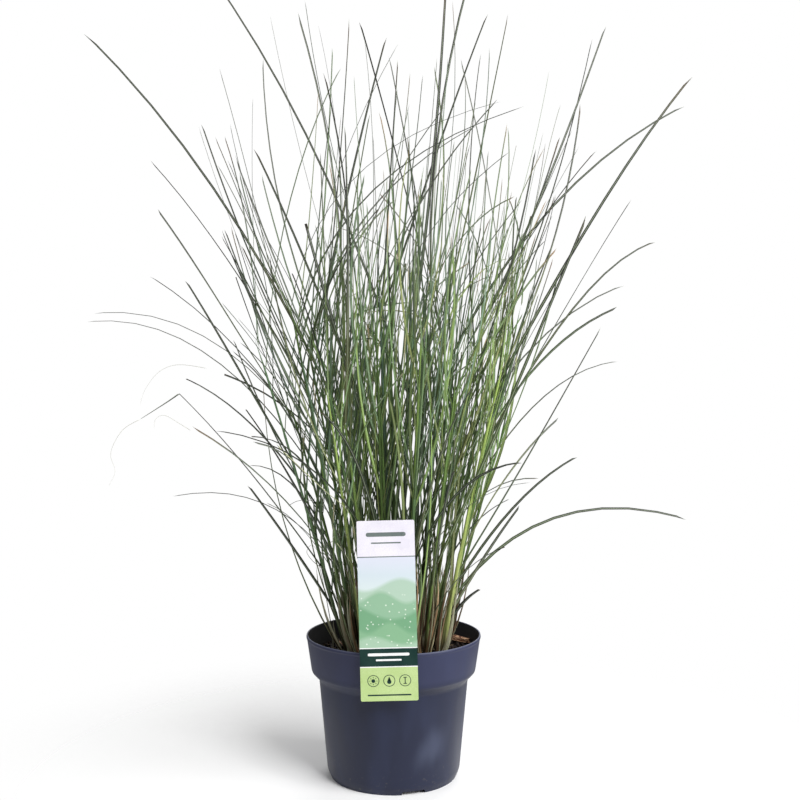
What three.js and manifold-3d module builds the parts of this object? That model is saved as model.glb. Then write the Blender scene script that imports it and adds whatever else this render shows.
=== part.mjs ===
// Potted maiden grass, in millimetres, +Z up, with the origin at the middle of the pot's underside.
// Forty-four leafy stems stand in holes in the compost of a black-grey nursery pot, and a printed
// plant label hangs over the front of the rim, on the -Y side.
import * as THREE from 'three';
import { mergeVertices } from 'three/addons/utils/BufferGeometryUtils.js';
import Module from 'manifold-3d';

const wasm = await Module();
wasm.setup();

// Clearance between pieces that touch
const GAP = 0.3;

// Pot: a 19 cm injection-moulded nursery pot of about 3 litres
const POT_HEIGHT = 153;
const RIM_RADIUS = 95;
const BAND_HEIGHT = 38;
const BAND_FOOT_RADIUS = 89.3;
const SHOULDER_HEIGHT = 9;
const BODY_TOP_RADIUS = 81;
const BODY_FOOT_RADIUS = 72;
const FOOT_ROUNDING = 8;
const FOOT_RING_WIDTH = 5;
const POT_WALL = 1.4;
const LIP_EDGE = 0.4;
const POT_SIDES = 36;
const FLOOR_CLEARANCE = 5;
const FLOOR_FLARE = 2;
const PAD_RADIUS = 16;
const NOTCH_COUNT = 3;
const NOTCH_WIDTH = 25;
const NOTCH_HEIGHT = 4;
const NOTCH_TURN = THREE.MathUtils.degToRad(-72);
const DRAIN_COUNT = 6;
const DRAIN_RADIUS = 5;
const DRAIN_CIRCLE = 42;

// Compost
const SOIL_TOP = 132;
const SOIL_SIDES = 28;
const SOIL_SWELL = 1.1;
const BARK_COUNT = 9;
const BARK_SIZE = [15, 6, 3.4];

// Label: a card in front of the rim, joined over the rim to a stake that stands in the compost
const CARD_WIDTH = 58;
const CARD_HEIGHT = 182;
const CARD_FOOT = 106.5;
const CARD_THICKNESS = 0.8;
const CARD_X = -5.5;
const CARD_LEAN = THREE.MathUtils.degToRad(1.4);
const STAKE_WIDTH = 20;
const STAKE_FOOT = 96;
const STAKE_TOP_Y = -89.5;
const STAKE_FOOT_Y = -70;
const BRIDGE_TOP = POT_HEIGHT + GAP + CARD_THICKNESS;

// Leafy stems
const STEM_COUNT = 44;
const STEM_SINK = 26;
const STEM_SIDES = 5;
const STEM_STEPS = 4;
const STEM_LENGTH = [300, 430];
const STEM_BOW = [2, 19.5];
const STEM_RADIUS = [2.2, 3];
const STEM_TIP_RADIUS = 1.2;
const STEM_MARGIN = 1.5;
const CROWN_RADIUS = 52;
const CROWN_X = 3.5;
const LEAN_INNER = 1.5;
const LEAN_OUTER = 12.5;
const GOLDEN_ANGLE = Math.PI * (3 - Math.sqrt(5));

// Leaves
const LEAVES_PER_STEM = 7;
const LOWEST_LEAF = 0.12;
const LONG_LEAF_WIDTH = [3.4, 4.8];
const LEAF_WIDTH = [2.9, 3.9];
const LEAF_LENGTH = [223, 370];
const TRIMMED_SHARE = 0.25;
const TRIMMED_TAPER = [0.55, 0.8];
const ARCHING_LEAVES = 2;
const LEAF_MARGIN = 0.5;
const LEAF_THICKNESS = 0.85;
const LEAF_COLLAR = 0.05;
const LEAF_PARTING = 0.35;
const LEAF_CHECKS = 32;
const LEAF_SPARE = 1.02;
const PLACING_TRIES = 40;
const NEAR_STEMS = 6;
const LEAF_ROOTS = Array.from({ length: 22 }, (_, i) => LOWEST_LEAF + 0.04 * i);
const LEAF_RISE = 20;
const ROOT_PULL = 0.1;
const CLUMP_REACH = 66;
const CLUMP_SPREAD = 0.14;
const CLUMP_EDGE = [0.75, 1.2];
const CLUMP_DRIFT = 0.09;
const CARD_BERTH = 9;
const RIM_BERTH = 6;

// Long outer leaves, set by hand: where each leaves its stem (x, z), its tip (x, y, z), how far it
// droops, and how much of its full taper it keeps, which is under 1 on a leaf with a trimmed end.
const LONG_LEAVES = [
  [-85, 405, -340, 20, 810, 0.10, 1],
  [-30, 485, -215, 70, 900, 0.06, 1],
  [-80, 410, -250, -60, 655, 0.10, 1],
  [-95, 385, -265, 40, 620, 0.14, 1],
  [-100, 325, -210, -80, 530, 0.08, 1],
  [-95, 340, -285, 90, 550, 0.12, 1],
  [-100, 365, -320, -20, 500, 0.38, 1],
  [-105, 350, -350, 60, 495, 0.30, 1],
  [-105, 330, -205, 100, 795, 0.04, 1],
  [-110, 430, -195, -70, 690, 0.06, 1],
  [-55, 460, -135, -120, 655, 0.06, 1],
  [-55, 460, -145, 30, 785, 0.05, 1],
  [-65, 430, -115, 120, 865, 0.05, 1],
  [-95, 385, -45, -60, 800, 0.04, 1],
  [50, 485, -40, 90, 845, 0.05, 1],
  [-95, 485, -10, 140, 845, 0.06, 1],
  [5, 460, 5, -140, 735, 0.05, 1],
  [-60, 460, -70, -100, 740, 0.04, 1],
  [35, 485, 60, 60, 895, 0.03, 1],
  [50, 470, 80, -40, 850, 0.03, 1],
  [-10, 520, 110, 110, 860, 0.06, 1],
  [-40, 480, -45, -150, 670, 0.04, 1],
  [95, 485, 240, 60, 830, 0.10, 1],
  [85, 480, 200, -110, 655, 0.10, 1],
  [85, 375, 325, 10, 760, 0.14, 1],
  [95, 485, 335, 80, 745, 0.10, 1],
  [105, 355, 245, -60, 615, 0.08, 1],
  [95, 350, 295, 50, 585, 0.38, 1],
  [115, 410, 190, -100, 590, 0.08, 1],
  [120, 375, 270, 100, 540, 0.30, 1],
  [105, 375, 235, -40, 505, 0.16, 1],
  [95, 265, 220, -30, 485, 0.05, 1],
  [100, 320, 255, 60, 450, 0.26, 1],
  [65, 205, 190, -60, 350, 0.16, 1],
  [60, 190, 314, -20, 280, 0.22, 1],
  [85, 250, 190, 70, 385, 0.08, 1],
  [70, 195, 130, -70, 300, 0.04, 1],
  [80, 245, 130, 40, 295, 0.10, 1],
  [-65, 205, -225, -40, 415, 0.06, 0.8],
  [-90, 295, -235, 50, 430, 0.14, 1],
  [-75, 235, -210, -70, 380, 0.10, 1],
  [-75, 230, -245, 20, 300, 0.20, 1],
  [-65, 180, -150, -60, 320, 0.0, 1],
  [-85, 280, -145, -110, 400, 0.06, 0.7],
  [-65, 285, -135, -140, 375, 0.20, 0.7],
  [-100, 340, -195, 80, 435, 0.12, 0.75],
  [-110, 405, -170, -20, 540, 0.04, 0.7],
  [-105, 405, -180, 60, 595, 0.04, 0.7],
  [-105, 405, -185, 110, 565, 0.05, 0.7],
  [-70, 410, -95, -150, 530, 0.02, 0.65],
  [-50, 460, -90, -60, 590, 0.03, 0.65],
  [-50, 515, -15, -90, 595, 0.03, 0.6],
  [0, 480, -5, -60, 560, 0.02, 0.6],
  [65, 160, 90, -50, 210, 0.02, 0.8],
];

// Repeatable random numbers from a to b
let seed = 272;
function draw(a, b) {
  seed = (seed * 1664525 + 1013904223) % 4294967296;
  return a + ((b - a) * seed) / 4294967296;
}

// Small vector helpers on [x, y, z]
const add = (a, b, k = 1) => [a[0] + b[0] * k, a[1] + b[1] * k, a[2] + b[2] * k];
const minus = (a, b) => add(a, b, -1);
const times = (a, k) => [a[0] * k, a[1] * k, a[2] * k];
const dot = (a, b) => a[0] * b[0] + a[1] * b[1] + a[2] * b[2];
const size = (a) => Math.sqrt(dot(a, a));
const unit = (a) => times(a, 1 / size(a));
const cross = (a, b) => [a[1] * b[2] - a[2] * b[1], a[2] * b[0] - a[0] * b[2], a[0] * b[1] - a[1] * b[0]];
const clamp = (v, low, high) => Math.min(high, Math.max(low, v));
const UP = [0, 0, 1];

// A closed three.js geometry as a solid for joining and cutting, and back
function toSolid(geometry) {
  const bare = new THREE.BufferGeometry();
  bare.setAttribute('position', geometry.getAttribute('position'));
  bare.setIndex(geometry.getIndex());
  const merged = mergeVertices(bare, 1e-4);
  const index = merged.getIndex().array;
  const corners = [];
  for (let i = 0; i < index.length; i += 3) {
    const [a, b, c] = [index[i], index[i + 1], index[i + 2]];
    if (a !== b && b !== c && c !== a) corners.push(a, b, c);
  }
  const vertProperties = new Float32Array(merged.getAttribute('position').array);
  const triVerts = new Uint32Array(corners);
  return new wasm.Manifold(new wasm.Mesh({ numProp: 3, vertProperties, triVerts }));
}

function toGeometry(solid) {
  const mesh = solid.getMesh();
  const geometry = new THREE.BufferGeometry();
  geometry.setAttribute('position', new THREE.BufferAttribute(new Float32Array(mesh.vertProperties), 3));
  geometry.setIndex(new THREE.BufferAttribute(new Uint32Array(mesh.triVerts), 1));
  geometry.computeVertexNormals();
  return geometry;
}

// A profile of [radius, height] points, turned round the Z axis
function turned(points, sides) {
  const profile = points.map(([radius, height]) => new THREE.Vector2(radius, height));
  return new THREE.LatheGeometry(profile, sides).rotateX(Math.PI / 2);
}

// A closed skin over rings of points, where a first or last ring of a single point is a tip. Every
// side but the last is split along one diagonal and the last along the other, so that both faces of
// a twisted blade bend alike.
function skin(rings) {
  const points = rings.flat();
  const index = [];
  let start = 0;
  for (let r = 0; r + 1 < rings.length; r += 1) {
    const next = start + rings[r].length;
    const count = Math.max(rings[r].length, rings[r + 1].length);
    for (let i = 0; i < count; i += 1) {
      const j = (i + 1) % count;
      if (rings[r].length === 1) index.push(start, next + j, next + i);
      else if (rings[r + 1].length === 1) index.push(start + i, start + j, next);
      else if (j > 0) index.push(start + i, start + j, next + j, start + i, next + j, next + i);
      else index.push(start + i, start + j, next + i, start + j, next + j, next + i);
    }
    start = next;
  }
  for (let i = 1; i + 1 < rings[0].length; i += 1) index.push(0, i + 1, i);
  for (let i = 1; start + i + 1 < points.length; i += 1) index.push(start, start + i, start + i + 1);
  const geometry = new THREE.BufferGeometry();
  geometry.setAttribute('position', new THREE.Float32BufferAttribute(points.flat(), 3));
  geometry.setIndex(index);
  return geometry;
}

// Shortest distance between the segments p-q and r-s
function segmentDistance(p, q, r, s) {
  const u = minus(q, p);
  const v = minus(s, r);
  const w = minus(p, r);
  const a = dot(u, u);
  const b = dot(u, v);
  const c = dot(v, v);
  const d = dot(u, w);
  const e = dot(v, w);
  const det = a * c - b * b;
  const first = det > 1e-9 * a * c ? clamp((b * e - c * d) / det, 0, 1) : 0;
  const t = clamp((b * first + e) / c, 0, 1);
  const k = clamp((b * t - d) / a, 0, 1);
  return size(minus(add(w, u, k), times(v, t)));
}

// Round-ended rods that stand for everything placed so far, each with its half width and its stem.
// Rods of one stem may touch, apart from the loose ends of its leaves.
const rods = [];
function isClear(chain, margin) {
  return chain.every((rod) => rods.every((other) => (other.owner === rod.owner && !(rod.loose && other.loose))
    || segmentDistance(rod.from, rod.to, other.from, other.to) >= rod.half + other.half + margin));
}

function chainOf(points, halves, owner, held) {
  const chain = [];
  for (let i = 0; i + 1 < points.length; i += 1) {
    const half = Math.max(halves[i], halves[i + 1]);
    chain.push({ from: points[i], to: points[i + 1], half, owner, loose: i >= held });
  }
  return chain;
}

// Stems
const stemPoint = (stem, u) => add(add(stem.base, stem.dir, stem.length * u), stem.bow, u * u);
const stemTangent = (stem, u) => unit(add(times(stem.dir, stem.length), stem.bow, 2 * u));
const stemRadius = (stem, u) => stem.radius + (STEM_TIP_RADIUS - stem.radius) * u;
const steps = (count) => Array.from({ length: count + 1 }, (_, i) => i / count);

function placeStem(number) {
  const reach = CROWN_RADIUS * Math.sqrt((number + 0.5) / STEM_COUNT);
  for (let attempt = 0; attempt < PLACING_TRIES; attempt += 1) {
    const azimuth = number * GOLDEN_ANGLE + draw(-0.25, 0.25);
    const heading = azimuth + draw(-0.35, 0.35);
    const degrees = LEAN_INNER + ((LEAN_OUTER - LEAN_INNER) * reach) / CROWN_RADIUS + draw(-3, 3);
    const behindCard = Math.max(0, -Math.sin(heading)) ** 4;
    const lean = THREE.MathUtils.degToRad(degrees * (1 - 0.7 * behindCard));
    const length = draw(...STEM_LENGTH);
    const bow = draw(...STEM_BOW);
    const radius = draw(...STEM_RADIUS);
    const face = draw(0, Math.PI);
    const out = [Math.cos(heading), Math.sin(heading), 0];
    const stem = {
      number,
      base: [CROWN_X + reach * Math.cos(azimuth), reach * Math.sin(azimuth), SOIL_TOP - STEM_SINK],
      dir: add(times(out, Math.sin(lean)), UP, Math.cos(lean)),
      bow: add(times(out, bow), UP, -2),
      length,
      radius,
      face,
      out,
      leaves: [],
    };
    const us = steps(STEM_STEPS);
    const points = us.map((u) => stemPoint(stem, u));
    const chain = chainOf(points, us.map((u) => stemRadius(stem, u)), number, points.length);
    const blocked = steps(LEAF_CHECKS).some((u) => isBlocked(stemPoint(stem, u)));
    if (!blocked && isClear(chain, STEM_MARGIN)) {
      rods.push(...chain);
      return stem;
    }
  }
  return null;
}

// Leaves: each follows a cubic from its stem to its tip, which starts near the stem's direction,
// leans out and then droops. Its width is the full one from near the root, and tapers to the tip.
function leafPoint(leaf, t) {
  const along = add(times(leaf.start, t), leaf.bend, t * t);
  return add(leaf.root, add(along, UP, -leaf.droop * t * t * t), leaf.length);
}

function leafTangent(leaf, t) {
  return unit(add(add(leaf.start, leaf.bend, 2 * t), UP, -3 * leaf.droop * t * t));
}

function leafHalf(leaf, t) {
  const s = t * leaf.taper;
  const taper = 1 - 0.93 * Math.max(0, (s - 0.12) / 0.88) ** 2;
  return leaf.width * 0.5 * (0.75 + 0.25 * Math.min(1, s / 0.12)) * taper;
}

// Where the rings of a leaf stand: its root is a point on the stem's middle, the leaf is wide soon
// after it, and from there it has 3 to 7 steps, more where it turns more
function leafStations(leaf) {
  const turn = Math.acos(clamp(dot(leafTangent(leaf, 0), leafTangent(leaf, 1)), -1, 1));
  const count = clamp(Math.round(2.4 + turn * 3.2 + Math.abs(leaf.twist) * 0.4), 3, 7);
  return [0, LEAF_COLLAR, ...steps(count).slice(1)];
}

function makeLeaf(stem, u, tip, droop, width, taper, roll, twist) {
  const root = stemPoint(stem, u);
  const tangent = stemTangent(stem, u);
  const toTip = unit(minus(tip, root));
  const aside = unit(add(toTip, tangent, -dot(toTip, tangent)));
  const start = unit(add(tangent, aside, LEAF_PARTING));
  const length = LEAF_SPARE * size(minus(tip, root));
  const bend = add(minus(times(minus(tip, root), 1 / length), start), UP, droop);
  return { root, start, bend, droop, length, width, taper, roll, twist };
}

// The card and the space before it, and the pot's rim, which stems and leaves keep clear of
function isBlocked([x, y, z]) {
  const byCard = Math.abs(x - CARD_X) < CARD_WIDTH / 2 + CARD_BERTH && y < -RIM_RADIUS + CARD_BERTH;
  if (byCard && z < CARD_FOOT + CARD_HEIGHT + RIM_BERTH) return true;
  return z < POT_HEIGHT + RIM_BERTH && Math.hypot(x, y) > CROWN_RADIUS + 4 * RIM_BERTH;
}

function tryLeaf(stem, leaf) {
  if (steps(LEAF_CHECKS).some((t) => isBlocked(leafPoint(leaf, t)))) return false;
  const ts = leafStations(leaf);
  const points = ts.map((t) => leafPoint(leaf, t));
  const halves = ts.map((t) => Math.max(LEAF_THICKNESS, leafHalf(leaf, t)));
  const chain = chainOf(points, halves, stem.number, 1);
  if (!isClear(chain, LEAF_MARGIN)) return false;
  rods.push(...chain);
  stem.leaves.push(leaf);
  return true;
}

// A long leaf grows from the stem that best meets the line on which the leaf comes out of the clump,
// at or below the place where it comes out. A stem far below that place counts as less near.
function placeLongLeaf(stems, [rootX, rootZ, tipX, tipY, tipZ, droop, taper]) {
  const [runX, , runZ] = unit(add(unit([tipX - rootX, 0, tipZ - rootZ]), UP, droop));
  const near = [];
  for (const stem of stems.filter(({ leaves }) => leaves.length < LEAVES_PER_STEM)) {
    const places = LEAF_ROOTS.map((u) => {
      const [x, y, z] = stemPoint(stem, u);
      const off = (x - rootX) * runZ - (z - rootZ) * runX;
      return { stem, u, below: rootZ - z, far: Math.hypot(off, y - 0.35 * tipY) + ROOT_PULL * (rootZ - z) };
    }).filter(({ below }) => below >= -LEAF_RISE);
    if (places.length > 0) near.push(places.reduce((a, b) => (b.far < a.far ? b : a)));
  }
  near.sort((a, b) => a.far - b.far);
  for (const { stem, u } of near.slice(0, NEAR_STEMS)) {
    for (let attempt = 0; attempt < 6; attempt += 1) {
      const width = draw(...LONG_LEAF_WIDTH);
      const sway = draw(-30, 30);
      const roll = draw(-0.9, 0.9);
      const twist = draw(-1.2, 1.2);
      const tip = [tipX, tipY + (attempt > 0 ? sway : 0), tipZ];
      const leaf = makeLeaf(stem, u, tip, droop, width, taper, roll, twist);
      if (tryLeaf(stem, leaf)) return true;
    }
  }
  return false;
}

// Where the middle of the clump is at a given height, and about how far from it a leaf's tip may
// stand. CLUMP_EDGE varies that from leaf to leaf, so the clump's outline is loose.
const clumpMiddle = (height) => CROWN_X + CLUMP_DRIFT * (height - POT_HEIGHT);
const clumpReach = (height) => CLUMP_REACH + CLUMP_SPREAD * (height - 300);

// The other leaves of a stem, in two ranks. Stems at the front and back have one or two more that
// arch far out, as the long ones set by hand do at the sides.
function fillStem(stem) {
  const missing = LEAVES_PER_STEM - stem.leaves.length;
  for (let k = 0; k < missing; k += 1) {
    const share = (k + 0.5) / missing;
    const arching = k < ARCHING_LEAVES && Math.abs(stem.out[1]) > 0.7 && stem.number > STEM_COUNT / 3;
    for (let attempt = 0; attempt < PLACING_TRIES; attempt += 1) {
      const u = clamp(0.16 + 0.84 * share + draw(-0.05, 0.05), LOWEST_LEAF, 1);
      const side = stem.face + Math.PI * k + draw(-0.7, 0.7);
      const length = draw(...LEAF_LENGTH) * (0.8 + 0.3 * share);
      const spread = draw(0.04, 0.5) * (1.15 - 0.5 * share);
      const outward = draw(0, 0.1) + (arching ? draw(0.4, 1.0) : 0);
      const sag = draw(0, 0.12) * (1 + 2 * spread) + (arching ? 0.08 : 0);
      const trimmed = draw(0, 1) < TRIMMED_SHARE;
      const kept = draw(...TRIMMED_TAPER);
      const width = draw(...LEAF_WIDTH);
      const roll = draw(-1.1, 1.1);
      const twist = draw(-1.5, 1.5);
      const root = stemPoint(stem, u);
      const taper = trimmed ? kept : 1;
      const aside = [Math.cos(side), Math.sin(side), 0];
      const heading = unit(add(add(stemTangent(stem, u), aside, spread), stem.out, outward));
      const tip = add(add(root, heading, length * taper), UP, -length * taper * sag);
      const middle = clumpMiddle(tip[2]);
      const reach = Math.hypot(tip[0] - middle, tip[1]);
      const bound = clumpReach(tip[2]) * draw(...CLUMP_EDGE);
      const pull = arching ? 1 : Math.min(1, bound / reach);
      tip[0] = middle + (tip[0] - middle) * pull;
      tip[1] *= pull;
      const leaf = makeLeaf(stem, u, tip, sag * 1.3, width, taper, roll, twist);
      if (tryLeaf(stem, leaf)) break;
    }
  }
}

function growGrass() {
  const stems = [];
  for (let number = 0; number < STEM_COUNT; number += 1) {
    const stem = placeStem(number);
    if (stem) stems.push(stem);
  }
  for (const row of LONG_LEAVES) placeLongLeaf(stems, row);
  for (const stem of stems) fillStem(stem);
  return stems;
}

// A ring round a stem, widened by a margin where it is part of the hole for the stem
function stemRing(stem, u, margin = 0) {
  const tangent = stemTangent(stem, u);
  const across = unit(cross(tangent, [0, 1, 0]));
  const beside = cross(tangent, across);
  const centre = stemPoint(stem, u);
  const radius = stemRadius(stem, u) + margin / Math.cos(Math.PI / STEM_SIDES);
  return Array.from({ length: STEM_SIDES }, (_, i) => {
    const angle = (2 * Math.PI * i) / STEM_SIDES;
    return add(add(centre, across, radius * Math.cos(angle)), beside, radius * Math.sin(angle));
  });
}

const stemSolid = (stem) => toSolid(skin(steps(STEM_STEPS).map((u) => stemRing(stem, u))));

// The hole for a stem follows the stem's lowest stretch, and is a little deeper than its cut end
function stemHole(stem) {
  const foot = stemRing(stem, 0, GAP).map((point) => add(point, stem.dir, -GAP));
  return toSolid(skin([foot, stemRing(stem, 1 / STEM_STEPS, GAP)]));
}

// Solid of a leaf: three-sided, flat above and with its rib below
function leafSolid(leaf) {
  const run = add(leaf.start, leaf.bend);
  const level = unit([-run[1], run[0], 0]);
  const rings = leafStations(leaf).map((t) => {
    const tangent = leafTangent(leaf, t);
    const centre = leafPoint(leaf, t);
    if (t === 0 || (t === 1 && leaf.taper === 1)) return [centre];
    const upper = unit(cross(tangent, level));
    const across = cross(upper, tangent);
    const angle = leaf.roll + leaf.twist * t;
    const wide = add(times(across, Math.cos(angle)), upper, Math.sin(angle));
    const above = add(times(upper, Math.cos(angle)), across, -Math.sin(angle));
    const half = leafHalf(leaf, t);
    return [add(centre, wide, -half), add(centre, above, -LEAF_THICKNESS), add(centre, wide, half)];
  });
  return toSolid(skin(rings));
}

function leafyStem(stem) {
  return toGeometry(stem.leaves.reduce((whole, leaf) => whole.add(leafSolid(leaf)), stemSolid(stem)));
}

// Pot
function potGeometry() {
  const bandFoot = POT_HEIGHT - BAND_HEIGHT;
  const bodyTop = bandFoot - SHOULDER_HEIGHT;
  const ringOuter = BODY_FOOT_RADIUS - 0.45 * FOOT_ROUNDING;
  const ringInner = ringOuter - FOOT_RING_WIDTH;
  const floorTop = FLOOR_CLEARANCE + POT_WALL;
  const shell = turned([
    [0, 0],
    [PAD_RADIUS, 0],
    [PAD_RADIUS + FLOOR_FLARE, FLOOR_CLEARANCE],
    [ringInner - FLOOR_FLARE, FLOOR_CLEARANCE],
    [ringInner, 0],
    [ringOuter, 0],
    [BODY_FOOT_RADIUS - 1.2, 0.45 * FOOT_ROUNDING],
    [BODY_FOOT_RADIUS, FOOT_ROUNDING],
    [BODY_TOP_RADIUS, bodyTop],
    [BAND_FOOT_RADIUS - 1.3, bandFoot - 1.8],
    [BAND_FOOT_RADIUS, bandFoot],
    [RIM_RADIUS - 0.8, POT_HEIGHT - 4],
    [RIM_RADIUS, POT_HEIGHT - 2.5],
    [RIM_RADIUS - LIP_EDGE, POT_HEIGHT],
    [RIM_RADIUS - LIP_EDGE - POT_WALL, POT_HEIGHT],
    [BAND_FOOT_RADIUS - POT_WALL, bandFoot + POT_WALL],
    [BODY_TOP_RADIUS - POT_WALL, bodyTop + POT_WALL],
    [BODY_FOOT_RADIUS - POT_WALL, FOOT_ROUNDING + POT_WALL],
    [BODY_FOOT_RADIUS - POT_WALL - 3, floorTop],
    [PAD_RADIUS + 1, floorTop],
    [PAD_RADIUS - POT_WALL, POT_WALL],
    [0, POT_WALL],
  ], POT_SIDES);
  let pot = toSolid(shell);
  for (let i = 0; i < NOTCH_COUNT; i += 1) {
    const notch = new THREE.BoxGeometry(2 * FOOT_RING_WIDTH + 14, NOTCH_WIDTH, 2 * NOTCH_HEIGHT);
    notch.translate(BODY_FOOT_RADIUS, 0, 0);
    notch.rotateZ(NOTCH_TURN + (2 * Math.PI * i) / NOTCH_COUNT);
    pot = pot.subtract(toSolid(notch));
  }
  for (let i = 0; i < DRAIN_COUNT; i += 1) {
    const drain = new THREE.CylinderGeometry(DRAIN_RADIUS, DRAIN_RADIUS, 4 * floorTop, 10);
    drain.rotateX(Math.PI / 2);
    drain.translate(DRAIN_CIRCLE, 0, 0);
    drain.rotateZ((2 * Math.PI * (i + 0.5)) / DRAIN_COUNT);
    pot = pot.subtract(toSolid(drain));
  }
  return toGeometry(pot);
}

// Compost, with an uneven top, pieces of bark in it, a hole for each stem and a slot for the stake
function soilGeometry(stems) {
  const bandFoot = POT_HEIGHT - BAND_HEIGHT;
  const bodyTop = bandFoot - SHOULDER_HEIGHT;
  const inset = POT_WALL + GAP * 1.5;
  const floorTop = FLOOR_CLEARANCE + POT_WALL + GAP;
  const bandSlope = (RIM_RADIUS - LIP_EDGE - BAND_FOOT_RADIUS) / BAND_HEIGHT;
  const edge = BAND_FOOT_RADIUS - inset + bandSlope * (SOIL_TOP - bandFoot) - 0.6;
  const body = turned([
    [0, POT_WALL + GAP],
    [PAD_RADIUS - POT_WALL - 1, POT_WALL + GAP],
    [PAD_RADIUS, floorTop],
    [BODY_FOOT_RADIUS - inset - 4, floorTop],
    [BODY_FOOT_RADIUS - inset - 0.6, FOOT_ROUNDING + 2 * POT_WALL],
    [BODY_TOP_RADIUS - inset - 0.4, bodyTop + POT_WALL],
    [BAND_FOOT_RADIUS - inset - 1, bandFoot + 2 * POT_WALL],
    [edge, SOIL_TOP - 2],
    [edge - 6, SOIL_TOP],
    [(edge + CROWN_RADIUS) / 2, SOIL_TOP],
    [CROWN_RADIUS + 9, SOIL_TOP],
    [0, SOIL_TOP],
  ], SOIL_SIDES);
  const place = body.getAttribute('position');
  for (let i = 0; i < place.count; i += 1) {
    const [x, y, z] = [place.getX(i), place.getY(i), place.getZ(i)];
    const swell = Math.sin(x / 11 + 1.3) * Math.cos(y / 14) + 0.5 * Math.sin((x + y) / 6);
    if (z > SOIL_TOP - 3 && Math.hypot(x, y) > CROWN_RADIUS + 10) place.setZ(i, z + SOIL_SWELL * swell);
  }
  let soil = toSolid(body);
  for (let i = 0; i < BARK_COUNT; i += 1) {
    const [length, width, height] = BARK_SIZE.map((side) => side * draw(0.7, 1.25));
    const angle = draw(0, 2 * Math.PI);
    const distance = draw(CROWN_RADIUS + 8, edge - 13);
    const bark = new THREE.BoxGeometry(length, width, height);
    bark.rotateX(draw(-0.35, 0.35));
    bark.rotateY(draw(-0.2, 0.2));
    bark.rotateZ(draw(0, Math.PI));
    bark.translate(distance * Math.cos(angle), distance * Math.sin(angle), SOIL_TOP + 0.6);
    soil = soil.add(toSolid(bark));
  }
  for (const stem of stems) soil = soil.subtract(stemHole(stem));
  return toGeometry(soil.subtract(stakeSolid(GAP)));
}

// Label
function stakeSolid(margin) {
  const run = new THREE.Vector2(STAKE_TOP_Y - STAKE_FOOT_Y, BRIDGE_TOP - STAKE_FOOT);
  const thickness = CARD_THICKNESS + 2 * margin;
  const stake = new THREE.BoxGeometry(STAKE_WIDTH + 2 * margin, thickness, run.length() + 2 * margin);
  stake.rotateX(Math.atan2(-run.x, run.y));
  stake.translate(CARD_X, (STAKE_TOP_Y + STAKE_FOOT_Y) / 2, (BRIDGE_TOP + STAKE_FOOT) / 2);
  return toSolid(stake);
}

function labelGeometry() {
  const back = -RIM_RADIUS - GAP;
  const card = new THREE.BoxGeometry(CARD_WIDTH, CARD_THICKNESS, CARD_HEIGHT);
  card.translate(0, 0, CARD_HEIGHT / 2);
  card.rotateY(-CARD_LEAN);
  card.translate(CARD_X + (CARD_HEIGHT / 2) * Math.sin(CARD_LEAN), back - CARD_THICKNESS / 2, CARD_FOOT);
  const bridgeDepth = STAKE_TOP_Y - back + CARD_THICKNESS;
  const bridge = new THREE.BoxGeometry(STAKE_WIDTH, bridgeDepth, CARD_THICKNESS);
  bridge.translate(CARD_X, back - CARD_THICKNESS / 2 + bridgeDepth / 2, BRIDGE_TOP - CARD_THICKNESS / 2);
  return toGeometry(toSolid(card).add(toSolid(bridge)).add(stakeSolid(0)));
}

// Materials
const POT_PLASTIC = { color: 0x454a5e, roughness: 0.55, metalness: 0 };
const COMPOST = { color: 0x241a15, roughness: 0.95, metalness: 0 };
const CARD_PLASTIC = { color: 0xdfe8d6, roughness: 0.4, metalness: 0 };
const LEAF_GREEN = { color: 0x64804f, roughness: 0.6, metalness: 0 };

const plant = new THREE.Group();
function place(name, geometry, finish) {
  const mesh = new THREE.Mesh(geometry, new THREE.MeshStandardMaterial(finish));
  mesh.name = name;
  plant.add(mesh);
}

const stems = growGrass();
place('pot', potGeometry(), POT_PLASTIC);
place('compost', soilGeometry(stems), COMPOST);
place('label', labelGeometry(), CARD_PLASTIC);
stems.forEach((stem, i) => {
  place(`leafy_stem_${String(i + 1).padStart(2, '0')}`, leafyStem(stem), LEAF_GREEN);
});

export default plant;
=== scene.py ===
# Potted maiden grass: its looks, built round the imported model. Metres, +Z up, -Y towards the viewer.
import math
import random
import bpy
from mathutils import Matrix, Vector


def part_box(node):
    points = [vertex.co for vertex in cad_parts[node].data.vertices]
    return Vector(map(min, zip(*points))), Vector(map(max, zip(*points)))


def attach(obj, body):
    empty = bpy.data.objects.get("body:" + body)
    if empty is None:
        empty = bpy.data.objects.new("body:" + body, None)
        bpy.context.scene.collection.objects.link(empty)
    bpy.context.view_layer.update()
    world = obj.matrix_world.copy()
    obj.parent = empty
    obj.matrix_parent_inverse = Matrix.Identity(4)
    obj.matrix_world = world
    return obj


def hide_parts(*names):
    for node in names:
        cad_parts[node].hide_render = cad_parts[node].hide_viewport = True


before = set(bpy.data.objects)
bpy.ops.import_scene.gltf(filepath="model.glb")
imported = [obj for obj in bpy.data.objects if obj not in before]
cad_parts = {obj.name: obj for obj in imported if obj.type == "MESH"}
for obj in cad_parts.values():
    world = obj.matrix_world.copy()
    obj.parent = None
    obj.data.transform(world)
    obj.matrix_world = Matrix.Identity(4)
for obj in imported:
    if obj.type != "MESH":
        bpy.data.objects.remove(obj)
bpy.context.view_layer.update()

from types import SimpleNamespace

import bmesh
import bpy
import numpy as np
from mathutils import Matrix, Vector, noise

MM = 0.001

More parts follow.
